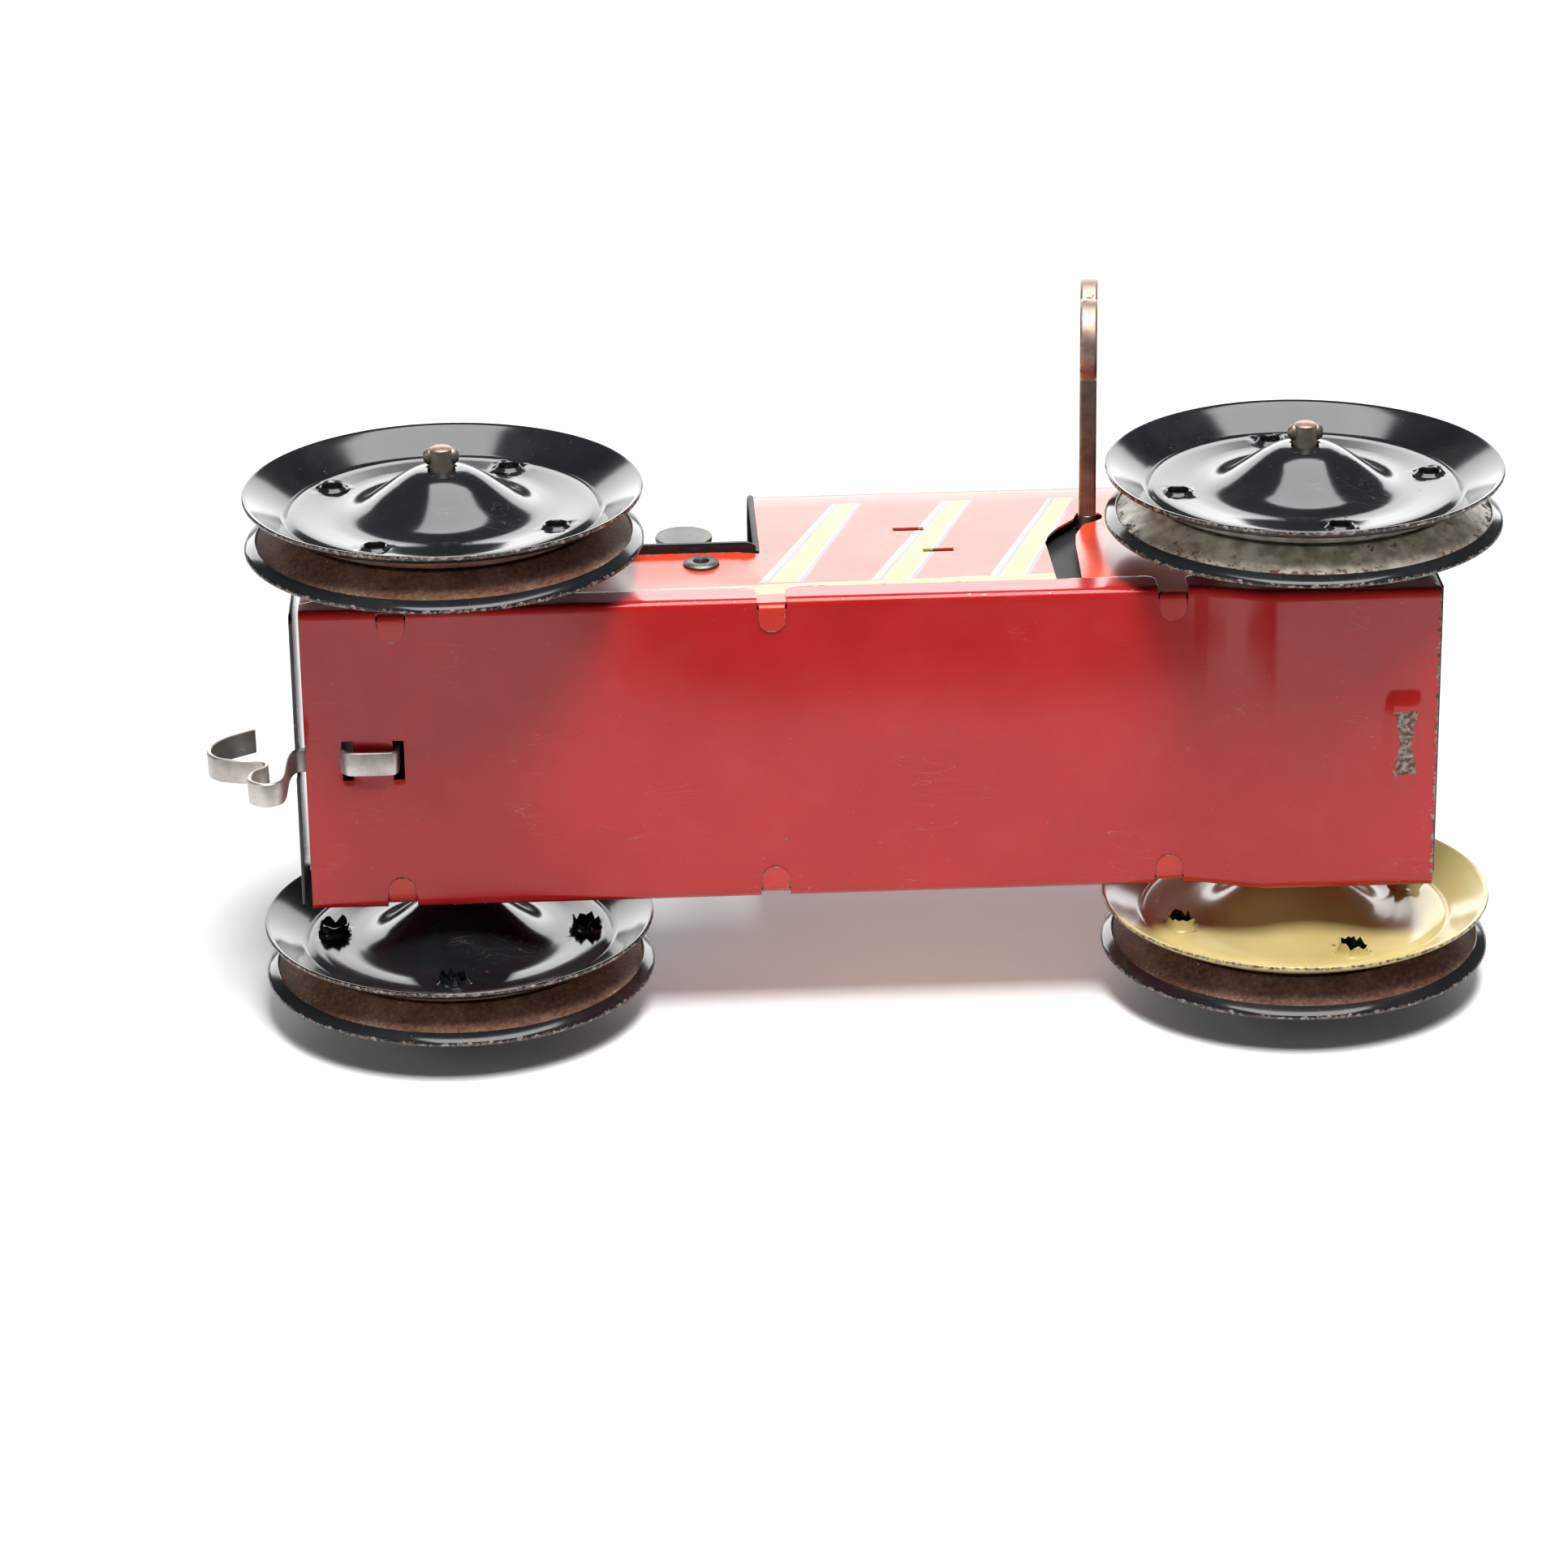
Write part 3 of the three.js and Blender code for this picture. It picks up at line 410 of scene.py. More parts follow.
def smooth_path(bends, steps):
    """A Catmull-Rom curve through the bends, evenly sampled."""
    fine = []
    padded = [bends[0], *bends, bends[-1]]
    for p0, p1, p2, p3 in zip(padded, padded[1:], padded[2:], padded[3:]):
        for k in range(12):
            t = k / 12
            fine.append(tuple(
                0.5 * (2 * b + (c - a) * t + (2 * a - 5 * b + 4 * c - d) * t * t
                       + (3 * b - a - 3 * c + d) * t ** 3)
                for a, b, c, d in zip(p0, p1, p2, p3)))
    fine.append(bends[-1])
    lengths = [0.0]
    for a, b in zip(fine, fine[1:]):
        lengths.append(lengths[-1] + math.dist(a, b))
    sampled, i = [], 0
    for k in range(steps + 1):
        target = lengths[-1] * k / steps
        while i < len(fine) - 2 and lengths[i + 1] < target:
            i += 1
        share = (target - lengths[i]) / max(lengths[i + 1] - lengths[i], 1e-9)
        sampled.append(tuple(a + (b - a) * share for a, b in zip(fine[i], fine[i + 1])))
    return sampled


def heading_at(path, i):
    before, after = path[max(i - 1, 0)], path[min(i + 1, len(path) - 1)]
    return Vector((after[0] - before[0], after[1] - before[1])).normalized()


def smooth(value, low, high):
    t = min(max((value - low) / (high - low), 0), 1)
    return t * t * (3 - 2 * t)


def wave(x, y, z, size, seed=0):
    """Slow unevenness of hand-worked sheet, from -1 to 1."""
    return noise.noise(Vector((x / size + seed, y / size - seed, z / size + 2 * seed)))


# ---- wheels

HOLE_RADIUS = 21.5
HOLE_RING = (18.9, 20.2, 21.5, 22.8, 24.1)     # rings of the near-flat part that a hole's patch spans
HOLE_RING_OUT, HOLE_RING_SLOPE = 1.4, 0.09
FACE = [(2.3, 8.05), (2.7, 8.28), (3.4, 8.22), (4.4, 8.0), (5.6, 7.52), (7, 6.76), (8.5, 5.74), (10.2, 4.5),
        (12, 3.2), (13.4, 2.3), (14.6, 1.72), (15.8, 1.38), (17, 1.22), (18.2, 1.2)]
FLARE = [(24.9, 1.6), (25.5, 1.5), (25.9, 1.2), (26.3, 1.06), (26.6, 1.15), (26.9, 1.33), (27.2, 1.52),
         (29, 2.64), (31, 3.89), (32.2, 4.62), (32.6, 4.82), (32.85, 4.84), (33.0, 4.66), (33.02, 4.4),
         (32.9, 4.12), (32.5, 3.82), (31.7, 3.28), (31.3, 3.04), (31.18, 3.1)]
BACK = [(31.12, 3.4), (30, 2.78), (28, 1.55), (26.6, 0.68), (25.9, 0.3), (25, 0.42), (22, 0.6), (18.2, 0.9),
        (15, 1.4), (12, 2.8), (10, 3.9), (7, 6.0), (4.6, 7.3), (2.3, 7.7)]
PIERCED = [(2.75, 1.4), (2.45, 1.5), (2.2, 1.8), (1.98, 1.92), (1.78, 1.82), (1.6, 1.45), (1.55, 1.05)]
SEGMENTS = 144
HOLE_HALF = 3                   # half a hole's patch, in segments


def torn_tube(rng, count):
    """Rings of a tube that was punched through and torn into petals."""
    low = [[(3.0, 1.42)] * count, [(2.7, 1.65)] * count, [(2.45, 2.2)] * count]
    tips, inner, throat = [], [], []
    for _corner in range(count):
        torn = rng.choice((0.0, 0.35, 0.8, 1.0, 1.2)) + rng.uniform(-0.1, 0.1)
        lean = rng.uniform(-0.25, 0.45)
        tips.append((2.35 + lean * torn, 2.3 + 1.1 * torn))
        inner.append((2.1 + lean * torn, 2.3 + 1.05 * torn))
        throat.append((1.85 + rng.uniform(-0.15, 0.1), 2.1))
    return low + [tips, inner, throat, [(1.75, 1.05)] * count]


def disc(phase, torn, seed):
    """One stamped disc about its own hub: points, faces and each face's material number."""
    rng = random.Random(seed)
    ring = [(r, HOLE_RING_OUT + HOLE_RING_SLOPE * (r - HOLE_RADIUS)) for r in HOLE_RING]
    profile = FACE + ring + FLARE + BACK
    points = []
    for radius, out in profile:
        for j in range(SEGMENTS):
            angle = 2 * math.pi * j / SEGMENTS + math.radians(phase)
            swell = 0.12 * wave(math.cos(angle), math.sin(angle), out / 9, 1.1, seed) * radius / RIM_RADIUS
            points.append((radius * math.cos(angle), out + swell, radius * math.sin(angle)))
    first_ring = len(FACE)
    last_ring = first_ring + len(HOLE_RING) - 1
    groove_start = len(FACE) + len(HOLE_RING) + len(FLARE) - 1
    faces, picks = [], []
    centres = [round(SEGMENTS * quarter / 4) for quarter in range(4)]
    for i in range(len(profile)):
        for j in range(SEGMENTS):
            near = min(abs((j + 0.5 - c + SEGMENTS / 2) % SEGMENTS - SEGMENTS / 2) for c in centres)
            if first_ring <= i < last_ring and near < HOLE_HALF:
                continue
            i2, j2 = (i + 1) % len(profile), (j + 1) % SEGMENTS
            faces.append((i * SEGMENTS + j, i * SEGMENTS + j2, i2 * SEGMENTS + j2, i2 * SEGMENTS + j))
            picks.append(1 if groove_start <= i < len(profile) - 1 else 0)
    for c in centres:
        columns = [(c + k) % SEGMENTS for k in range(-HOLE_HALF, HOLE_HALF + 1)]
        rows = list(range(first_ring, last_ring + 1))
        edge = [(rows[0], k) for k in columns] + [(r, columns[-1]) for r in rows[1:]]
        edge += [(rows[-1], k) for k in reversed(columns[:-1])]
        edge += [(r, columns[0]) for r in reversed(rows[1:-1])]
        loop = [r * SEGMENTS + k for r, k in edge]
        angle = 2 * math.pi * c / SEGMENTS + math.radians(phase)
        middle = Vector((HOLE_RADIUS * math.cos(angle), 0, HOLE_RADIUS * math.sin(angle)))
        count = len(loop)
        rings = torn_tube(rng, count) if torn else [[spot] * count for spot in PIERCED]
        before = loop
        for n, level in enumerate(rings):
            start = len(points)
            for j, (radius, out) in enumerate(level):
                way = Vector(points[loop[j]]) - middle
                way.y = 0
                way.normalize()
                points.append((middle.x + way.x * radius, out, middle.z + way.z * radius))
            now = list(range(start, start + count))
            # The last two rings of each hole and the cap below take material 2, the near-black painted shade
            # of a deep hole.
            for j in range(count):
                faces.append((before[j], before[(j + 1) % count], now[(j + 1) % count], now[j]))
                picks.append(0 if n < len(rings) - 2 else 2)
            before = now
        faces.append(tuple(before))
        picks.append(2)
    return points, faces, picks


def rim_wear(point):
    radius = math.hypot(point[0], point[2])
    hub = 0.2 * smooth(-radius, -5.0, -3.0)
    return 0.66 * smooth(radius, 32.7, 32.98) + hub


DISCS = (                       # axle, side, which disc, hole phase, paint, groove
    ("rear", -1, "outer", -30, black, groove_rusty),
    ("rear", -1, "inner", 14, black, groove_rusty),
    ("front", -1, "outer", 8, black, groove_bare),
    ("front", -1, "inner", 40, black, groove_bare),
    ("rear", 1, "outer", 25, black, groove_rusty),
    ("rear", 1, "inner", -2, black, groove_rusty),
    ("front", 1, "outer", 60, black, groove_rusty),
    ("front", 1, "inner", 20, olive, groove_rusty),
)


def wheels():
    for number, (axle, side, which, phase, face, groove) in enumerate(DISCS):
        name = f"{axle}_{'right' if side < 0 else 'left'}_{which}_disc"
        points, faces, picks = disc(phase, which == "inner", number + 3)
        way = side if which == "outer" else -side
        if way < 0:
            points = [(x, -y, z) for x, y, z in points]
        else:
            faces = [tuple(reversed(corners)) for corners in faces]
        piece = build(name + "_skin", points, faces, [face, groove, hole_shade], picks, 32, rim_wear,
                      (AXLES[axle], side * WHEEL_TRACK, AXLE_HEIGHT))
        slot = "olive_paint" if face is olive else "black_paint"
        own(piece, f"{axle}_axle_set", slot, name)


def axle_piece(name, body, at):
    """A wire axle whose ends are staked: two ears stand out just below each end."""
    reach = 50.25
    profile = [(0.01, -reach), (1.55, -reach + 0.05), (1.9, -reach + 0.3), (1.98, -reach + 0.9),
               (1.98, reach - 0.9), (1.9, reach - 0.3), (1.55, reach - 0.05), (0.01, reach)]
    parts = [lathe(profile, 32)]
    for end in (-1, 1):
        for side in (-1, 1):
            ear = [(0.1, -1.3), (0.75, -1.15), (1.2, -0.6), (1.35, 0), (1.2, 0.6), (0.75, 1.15), (0.1, 1.3)]
            points, faces = lathe(ear, 20)
            points = [(side * (1.75 + 0.95 * y), end * 48.6 + 1.1 * x, 0.8 * z) for x, y, z in points]
            parts.append((points, faces))
    points, faces = merged(*parts)
    picks = [1 if min(abs(points[i][1]) for i in face) > reach - 0.45 else 0 for face in faces]
    piece = build(name + "_wire", points, faces, [brown_steel, copper], picks, at=at)
    return own(piece, body, "rusty_steel", name)


# ---- the body's tinplate

def body_section():
    """The shell's section from its right foot over the hood to its left foot, as (y, z)."""
    rise = [0.9, 3, 5.5, 8, 11, 14, 17, 20, 22, DECK, 27, 30, 34, 38, 42, 46, HOOD_TOP - HOOD_CORNER]
    right = [(-SIDE, z) for z in rise]
    corner = arc((HOOD_CORNER - SIDE, HOOD_TOP - HOOD_CORNER), HOOD_CORNER, 180, 90, 9)[1:]
    flat = [(y, HOOD_TOP) for y in range(-15, 16, 3)]
    half = right + corner
    return half + flat + [(-y, z) for y, z in reversed(half)]


def panel_relief(x, y, z):
    """How far the side panel stands out from flat: fender flare, arbor bulge, dimple and waves."""
    if abs(y) < SIDE - 0.01:
        return 0.0
    flare = 0.5 * smooth(-x, 17, 24) * smooth(z, 11, 24)
    bulge = 0.9 * math.exp(-((x - 41) / 6.5) ** 2 - ((z - 17) / 12) ** 2) if y < 0 else 0
    dimple = -0.55 * math.exp(-((x + 20.7) ** 2 + (z - 14.1) ** 2) / 3.0)
    return flare + bulge + dimple + 0.16 * wave(x, y, z, 22, 1)


def stations(low, high, step, extra=()):
    count = round((high - low) / step)
    return sorted({round(low + (high - low) * i / count, 3) for i in range(count + 1)} | set(extra))


def slot_outline():
    edge = [(29.9, -2), (29.7, 11.5), (29.5, 23.6), (29.4, 25.3), (30.2, 28.8), (32.2, 32.6), (35.2, 36.6)]
    round_end = arc(ARBOR, 2.6, 130, -55, 8)
    return edge + round_end + [(36.6, 33.6), (34.9, 28.5), (34.4, 23.3), (33.9, 5.4), (33.9, -2)]


def circle(centre, radius, steps=24):
    return arc(centre, radius, 0, 360 - 360 / steps, steps - 1)


def cut_out(piece, outlines):
    """Cuts holes through the piece: each outline is in x and z, from y to y."""
    points, faces = merged(*[prism(outline, low, high, across) for outline, low, high in outlines])
    cutter = build("cutter", points, faces, list(piece.data.materials))
    modifier(piece, "BOOLEAN", object=cutter, operation="DIFFERENCE", solver="EXACT")
    bpy.context.view_layer.update()
    graph = bpy.context.evaluated_depsgraph_get()
    made = bpy.data.meshes.new_from_object(piece.evaluated_get(graph), preserve_all_data_layers=True,
                                           depsgraph=graph)
    piece.modifiers.clear()
    piece.data = made
    bpy.data.objects.remove(cutter)
    made.polygons.foreach_set("use_smooth", [True] * len(made.polygons))
    made.set_sharp_from_angle(angle=math.radians(38))
    return piece


def shell_wear(point):
    x, y, z = point
    rear = 0.7 * smooth(-x, -HOOD_REAR - 1.4, -HOOD_REAR) * smooth(z, DECK - 1, DECK)
    foot = 0.55 * smooth(-z, -2.2, -0.9)
    ends = 0.65 * smooth(abs(x + 1.6), 93.0, 93.8)
    corner = 0.28 * smooth(z, 52, 55) * smooth(abs(y), 19, 24)
    return max(rear, foot, ends, corner)


def body_shell():
    section = body_section()
    xs = stations(BODY_REAR, BODY_FRONT, 2.6, (HOOD_REAR, TAB_PLACES[1]))
    points = []
    for x in xs:
        for y, z in section:
            out = panel_relief(x, y, z)
            sag = 0.12 * wave(x, y, z, 30, 2) if z == HOOD_TOP else 0
            points.append((x, y + math.copysign(out, y), z + sag))
    count = len(section)
    faces = []
    for i in range(len(xs) - 1):
        for j in range(count - 1):
            middle = (section[j][1] + section[j + 1][1]) / 2
            if xs[i] < HOOD_REAR - 0.01 and middle > DECK:
                continue
            faces.append((i * count + j, (i + 1) * count + j, (i + 1) * count + j + 1, i * count + j + 1))
    used = sorted({i for face in faces for i in face})
    new = {old: k for k, old in enumerate(used)}
    faces = [tuple(new[i] for i in face) for face in faces]
    points = [points[i] for i in used]
    piece = build("hood_and_sides", points, faces, [orange, dark_inside], sharp=50, wear=shell_wear,
                  closed=False)
    modifier(piece, "SOLIDIFY", thickness=0.4 * MM, offset=-1, material_offset=1)
    holes = [(circle((x, AXLE_HEIGHT), 2.6), -40, 40) for x in AXLES.values()]
    holes += [(slot_outline(), -40, 0), (circle(LEVER, LEVER_HOLE), -40, 0)]
    for x, z in LUGS:
        slit = [(x - 2.6, z - 0.8), (x + 2.6, z - 0.8), (x + 2.6, z + 0.8), (x - 2.6, z + 0.8)]
        holes.append((slit, -40, 0))
    cut_out(piece, holes)
    return own(piece, "chassis", "orange_paint", "body_shell")


def side_tabs():
    """Six tabs that come down through the pan's notches and are folded over its underside."""
    half, round_start = 2.15, 23.2
    rows = [(SIDE - 0.2, 3.2, half), (SIDE - 0.2, 1.2, half)]
    rows += [(y, z, half) for y, z in arc((SIDE - 1.15, 0.75), 0.97, 0, -90, 6)]
    for step in range(13):
        a = math.radians(7.5 * step)
        rows.append((round_start - half * math.sin(a), -0.22, max(half * math.cos(a), 0.03)))
    shares = (-1, -0.9, -0.6, -0.2, 0.2, 0.6, 0.9, 1)
    points, faces, marks = [], [], []
    for x in TAB_PLACES:
        for side in (-1, 1):
            start = len(points)
            points += [(x + width * share, side * y, z) for y, z, width in rows for share in shares]
            marks += [0.75 if abs(share) == 1 or width < half * 0.5 else 0.05 for _y, _z, width in rows
                      for share in shares]
            more = ring_faces(len(rows), len(shares), closed_columns=False)
            faces += [tuple(start + i for i in (reversed(face) if side < 0 else face)) for face in more]
    marked = dict(zip(points, marks))
    piece = build("side_tabs", points, faces, [tab_orange], wear=marked.get, closed=False)
    modifier(piece, "SOLIDIFY", thickness=0.3 * MM, offset=-1)
    return own(bevel(piece, 0.08, 2), "chassis", "orange_paint")


POCKET_START, POCKET_FLAT, POCKET_DEPTH = 53, 64, 3.75
FLANGE_TOP = 6.3
NOTCH = 2.45                    # half a notch's width
SLOTS = ((-89.35, -87.5), (-80.9, -79.05))
SLOT_HALF = 3.5


def pan_floor(x, y):
    """Height of the pan's underside, with its bends, the worn rib and the dents of use."""
    z = 0.3 * smooth(-x, 77, -BODY_REAR) - POCKET_DEPTH * smooth(x, POCKET_START - 1.2, POCKET_FLAT + 1.2)
    rib = smooth(x, 83.4, 84.6) * smooth(-x, -89.8, -88.6) * smooth(-abs(y), -8.6, -7.2)
    z -= 0.45 * rib
    z += 0.30 * wave(x, y, 0, 34, 4) * smooth(PAN_SIDE - abs(y), 0, 6)
    z += 0.75 * math.exp(-((x + 85) / 7.5) ** 2 - ((y - 0.5) / 5.5) ** 2)
    z += 0.45 * math.exp(-((x - 86.5) / 4) ** 2 - ((y + 9) / 3) ** 2)
    return z


def flange_top(x):
    """The flange's top edge: it curves down at each notch and at both ends."""
    drop = 0.0
    for edge in [t + s * NOTCH for t in TAB_PLACES for s in (-1, 1)] + [BODY_REAR, BODY_FRONT]:
        off = abs(x - edge)
        if off < 1.8:
            drop = max(drop, 1.8 - math.sqrt(1.8 ** 2 - (1.8 - off) ** 2))
    return FLANGE_TOP - drop + 0.1 * wave(x, 0, 0, 14, 6)


def pan_wear(point):
    x, y, z = point
    floor = -POCKET_DEPTH * smooth(x, POCKET_START, POCKET_FLAT)
    bend = 0.5 * smooth(abs(y), 25.9, 26.4) * smooth(floor + 1.3 - z, 0, 0.6)
    top = 0.62 * smooth(z, FLANGE_TOP - 1.0, FLANGE_TOP - 0.3)
    front = 0.72 * smooth(x, BODY_FRONT - 1.0, BODY_FRONT - 0.2)
    rear = 0.45 * smooth(-x, -BODY_REAR - 0.8, -BODY_REAR)
    hour = 1.15 + 0.75 * abs(y - 0.5) ** 1.3 / 6
    rib = 0.95 * smooth(hour - abs(x - 86.9), -0.2, 0.4) * smooth(5.7 - abs(y - 0.5), -0.5, 0.5)
    return max(bend, top, front, rear, rib)


def bottom_pan():
    corner = 1.1
    flat_edge = PAN_SIDE - corner
    inner = [0, 1.2, 2.4, SLOT_HALF, 4.6, 5.8, 7, 8.2, 9.4, 12, 15, 18, 21, 23.2, 24.9, flat_edge]
    floor_ys = [-y for y in reversed(inner)] + inner[1:]
    bend = [(math.sin(math.radians(a)) * corner, (1 - math.cos(math.radians(a))) * corner)
            for a in (22.5, 45, 67.5, 90)]
    edges = [x + s * NOTCH for x in TAB_PLACES for s in (-1, 1)]
    extra = [*edges, *[e for slot in SLOTS for e in slot], 51.8, 52.9, 54, 57, 60, 63, 64, 65.2]
    extra += [e + s * d for e in edges for s in (-1, 1) for d in (0.3, 0.8, 1.3, 1.9)]
    extra += [83.2, 83.8, 84.4, 85, 85.6, 86.2, 86.8, 87.4, 88, 88.6, 89.2, 89.8, 90.4]
    xs = stations(BODY_REAR, BODY_FRONT, 3.2, extra)
    rises = (0.15, 0.35, 0.6, 0.8, 0.93, 1.0)
    points, columns = [], 0
    for x in xs:
        row = []
        top = flange_top(x)
        for side in (-1, 1):
            foot = pan_floor(x, flat_edge)
            wall = [(side * (flat_edge + dy), foot + dz) for dy, dz in bend]
            wall += [(side * (PAN_SIDE + 0.1 * wave(x, side, k, 16, 7)),
                      foot + corner + (top - foot - corner) * k) for k in rises]
            row.append(wall)
        floor = [(y, pan_floor(x, y)) for y in floor_ys]
        line = list(reversed(row[0])) + floor + row[1]
        columns = len(line)
        points += [(x, y, z) for y, z in line]
    walls = len(bend) + len(rises)
    faces = []
    for i in range(len(xs) - 1):
        middle_x = (xs[i] + xs[i + 1]) / 2
        in_notch = any(abs(middle_x - t) < NOTCH for t in TAB_PLACES)
        in_slot = any(low < middle_x < high for low, high in SLOTS)
        for j in range(columns - 1):
            y = (points[i * columns + j][1] + points[i * columns + j + 1][1]) / 2
            if in_notch and (j < walls + 1 or j >= columns - walls - 2) or in_slot and abs(y) < SLOT_HALF:
                continue
            here, beyond = i * columns + j, (i + 1) * columns + j
            faces.append((here, here + 1, beyond + 1, beyond))
    piece = build("pan_sheet", points, faces, [red, dark_inside], sharp=50, wear=pan_wear, closed=False)
    modifier(piece, "SOLIDIFY", thickness=0.4 * MM, offset=-1, material_offset=1)
    return own(bevel(piece, 0.1, 2), "chassis", "red_paint", "bottom_pan")


def hood_outline(half, bottom, top, corner, steps=8):
    left = arc((half - corner, top - corner), corner, 0, 90, steps)
    right = [(-y, z) for y, z in reversed(left)]
    return [(half, bottom), *left, *right, (-half, bottom)]


def slab(name, outline, low, high, place, material, width, wear=unwavering):
    points, faces = prism(outline, low, high, place)
    return bevel(build(name, points, faces, [material], wear=wear), width)


def rear_wall():
    outline = [(25.2, -0.4), (26.3, 0.7), (26.3, 23.8), (-26.3, 23.8), (-26.3, 0.7), (-25.2, -0.4),
               (-2.5, -0.4), (-2.5, 3.2), (2.5, 3.2), (2.5, -0.4)]

    def wear(point):
        return 0.38 if point[2] < 1.2 or abs(point[1]) > 26 else 0.2

    piece = slab("rear_wall_sheet", outline, -97.0, -96.4, along, black, 0.22, wear)
    return own(piece, "chassis", "black_paint", "rear_wall")


def radiator():
    """A pressed front with upright ribs, set in a plain frame."""
    half_outline = hood_outline(SIDE - 0.1, 0, HOOD_TOP - 0.1, HOOD_CORNER)
    plate = prism(half_outline, 92.5, 93.1, along)
    ribs = []
    for k in range(-4, 5):
        middle = 4.6 * k
        rib = [(middle - 1.5, 9), (middle - 1.5, 47), *arc((middle, 47), 1.5, 180, 0, 6)[1:-1],
               (middle + 1.5, 47), (middle + 1.5, 9), *arc((middle, 9), 1.5, 0, -180, 6)[1:-1]]
        ribs.append(prism(rib, 93.05, 93.65, along))
    points, faces = merged(plate, *ribs)
    piece = build("radiator_pressing", points, faces, [black], wear=lambda p: 0.35 if p[0] > 93.5 else 0.2)
    return own(bevel(piece, 0.25), "chassis", "black_paint", "radiator_front")


def rear_deck():
    steps = [(BODY_REAR, 27), (BODY_REAR + 1, 28), (-37, 28), (-21, 28), (-19.4, 27.2)]
    right = [(x, -half) for x, half in steps]
    left = [(x, half) for x, half in reversed(steps)]
    piece = slab("deck_sheet", right + left, 24.25, 24.9, lambda u, v, w: (u, v, w), black, 0.28,
                 lambda p: 0.35 if abs(p[1]) > 27 else 0.2)
    cut_out(piece, [([(-36, 23), (-23, 23), (-23, 27), (-36, 27)], -25.3, -23.4)])
    return own(piece, "chassis", "black_paint", "rear_deck")


def dash():
    inset = hood_outline(24.95, 25.5, 57.1, 6.1)
    plate = prism(inset, -17.8, -17.2, along)
    gauges = []
    for y, radius in ((-11, 3.6), (11, 3.6), (0, 2.4)):
        ring = [(radius - 0.7, -0.1), (radius - 0.5, -0.6), (radius, -0.7), (radius + 0.35, -0.1)]
        points, faces = lathe(ring, 28)
        gauges.append(([(-17.8 + v, y + u, 38 + w) for u, v, w in points], faces))
    edge = hood_outline(SIDE + 0.15, 24.5, HOOD_TOP + 0.1, HOOD_CORNER, 10)
    loop = [Vector((0, y, z)) for y, z in edge]
    bead = []
    for i, point in enumerate(loop):
        before, after = loop[max(i - 1, 0)], loop[min(i + 1, len(loop) - 1)]
        heading = (after - before).normalized()
        out = Vector((0, heading.z, -heading.y))
        for k in range(8):
            a = 2 * math.pi * k / 8
            forward = Vector((0.55 * math.sin(a) + HOOD_REAR - 0.3, 0, 0))
            bead.append(tuple(point + out * (0.5 * math.cos(a) - 0.25) + forward))
    ends = [tuple(range(8)), tuple(reversed(range(len(bead) - 8, len(bead))))]
    rolled = (bead, ring_faces(len(loop), 8) + ends)
    points, faces = merged(plate, *gauges, rolled)
    piece = build("dash_pressing", points, faces, [dull_black], wear=lambda p: 0.2)
    return own(piece, "chassis", "black_paint", "dash_panel")


def seat():
    """A bent strip of tinplate with rounded corners."""
    steps = 40
    path = smooth_path([(-56, 25.6), (-56, 30), (-57.2, 32.1), (-61, 32.0), (-70, 31.4), (-72.6, 32.6),
                        (-73.6, 36), (-75.9, 49)], steps)
    points = []
    for i, (x, z) in enumerate(path):
        heading = heading_at(path, i)
        left = steps - i
        half = 9.8 if left > 6 else 9.8 - 4.2 * (1 - math.sqrt(max(1 - ((6 - left) / 6.0) ** 2, 0)))
        dish = 0.9 * smooth(i, 12, 18) * smooth(-i, -34, -26)
        for k in range(-6, 7):
            t = k / 6
            sink = dish * (1 - t * t)
            points.append((x + heading.y * sink, half * t, z - sink * abs(heading.x)))
    faces = ring_faces(len(path), 13, closed_columns=False)
    piece = build("seat_pressing", points, faces, [black], closed=False,
                  wear=lambda p: 0.45 if abs(p[1]) > 9.3 else 0.15)
    modifier(piece, "SOLIDIFY", thickness=0.5 * MM, offset=0)
    return own(bevel(piece, 0.1, 2), "chassis", "black_paint", "driver_seat")


def steering():
    way = Vector((-0.88, 0, 0.47)).normalized()
    turn = Vector((0, 1, 0)).rotation_difference(way).to_matrix()
    foot = Vector((-14.8, 0, 44.8))

    def leaning(points):
        return [tuple(foot + turn @ Vector(point)) for point in points]

    column = lathe([(0.01, 0.1), (1.1, 0.1), (1.1, 18.2), (1.3, 18.4), (1.3, 20.9), (0.01, 20.9)], 24)
    own(build("steering_rod", leaning(column[0]), column[1], [steel]), "chassis", "steel", "steering_column")
    section = arc((9, 19.6), 0.88, 0, 330, 11)
    rim = lathe(section, 64)
    hub = lathe([(1.35, 18.8), (2.3, 18.9), (2.4, 19.4), (2.2, 20.2), (1.35, 20.4)], 32)
    spokes = []
    for k in range(3):
        a = 2 * math.pi * k / 3

        def turned(u, v, w, a=a):
            return (u * math.cos(a) - v * math.sin(a), w, u * math.sin(a) + v * math.cos(a))

        spokes.append(prism([(1.8, -0.85), (8.6, -0.65), (8.6, 0.65), (1.8, 0.85)], 19.25, 19.95, turned))
    points, faces = merged(rim, hub, *spokes)
    wheel = build("steering_hoop", leaning(points), faces, [black], wear=lambda p: 0.25)
    own(wheel, "chassis", "black_paint", "steering_wheel")


# ---- hook, key, lever and lugs

HOOK = [(-104.2, 10.9), (-108.2, 8.1), (-110.8, 4.6), (-111.2, 1.4), (-109.6, -1.1), (-106.7, -2.3),
        (-103.6, -3), (-101.7, -4), (-101.6, -5.6), (-103, -6.8), (-103.9, -8.6), (-103.8, -11.2),
        (-101.5, -13), (-99.3, -12), (-98.5, -9.3), (-98.2, -2.4), (-97.4, 1), (-95.6, 2), (-92.4, 2),
        (-90, 1.6), (-88.4, -0.4), (-87, -0.8), (-82, -0.8), (-80.5, -0.1), (-80.1, 3.4)]


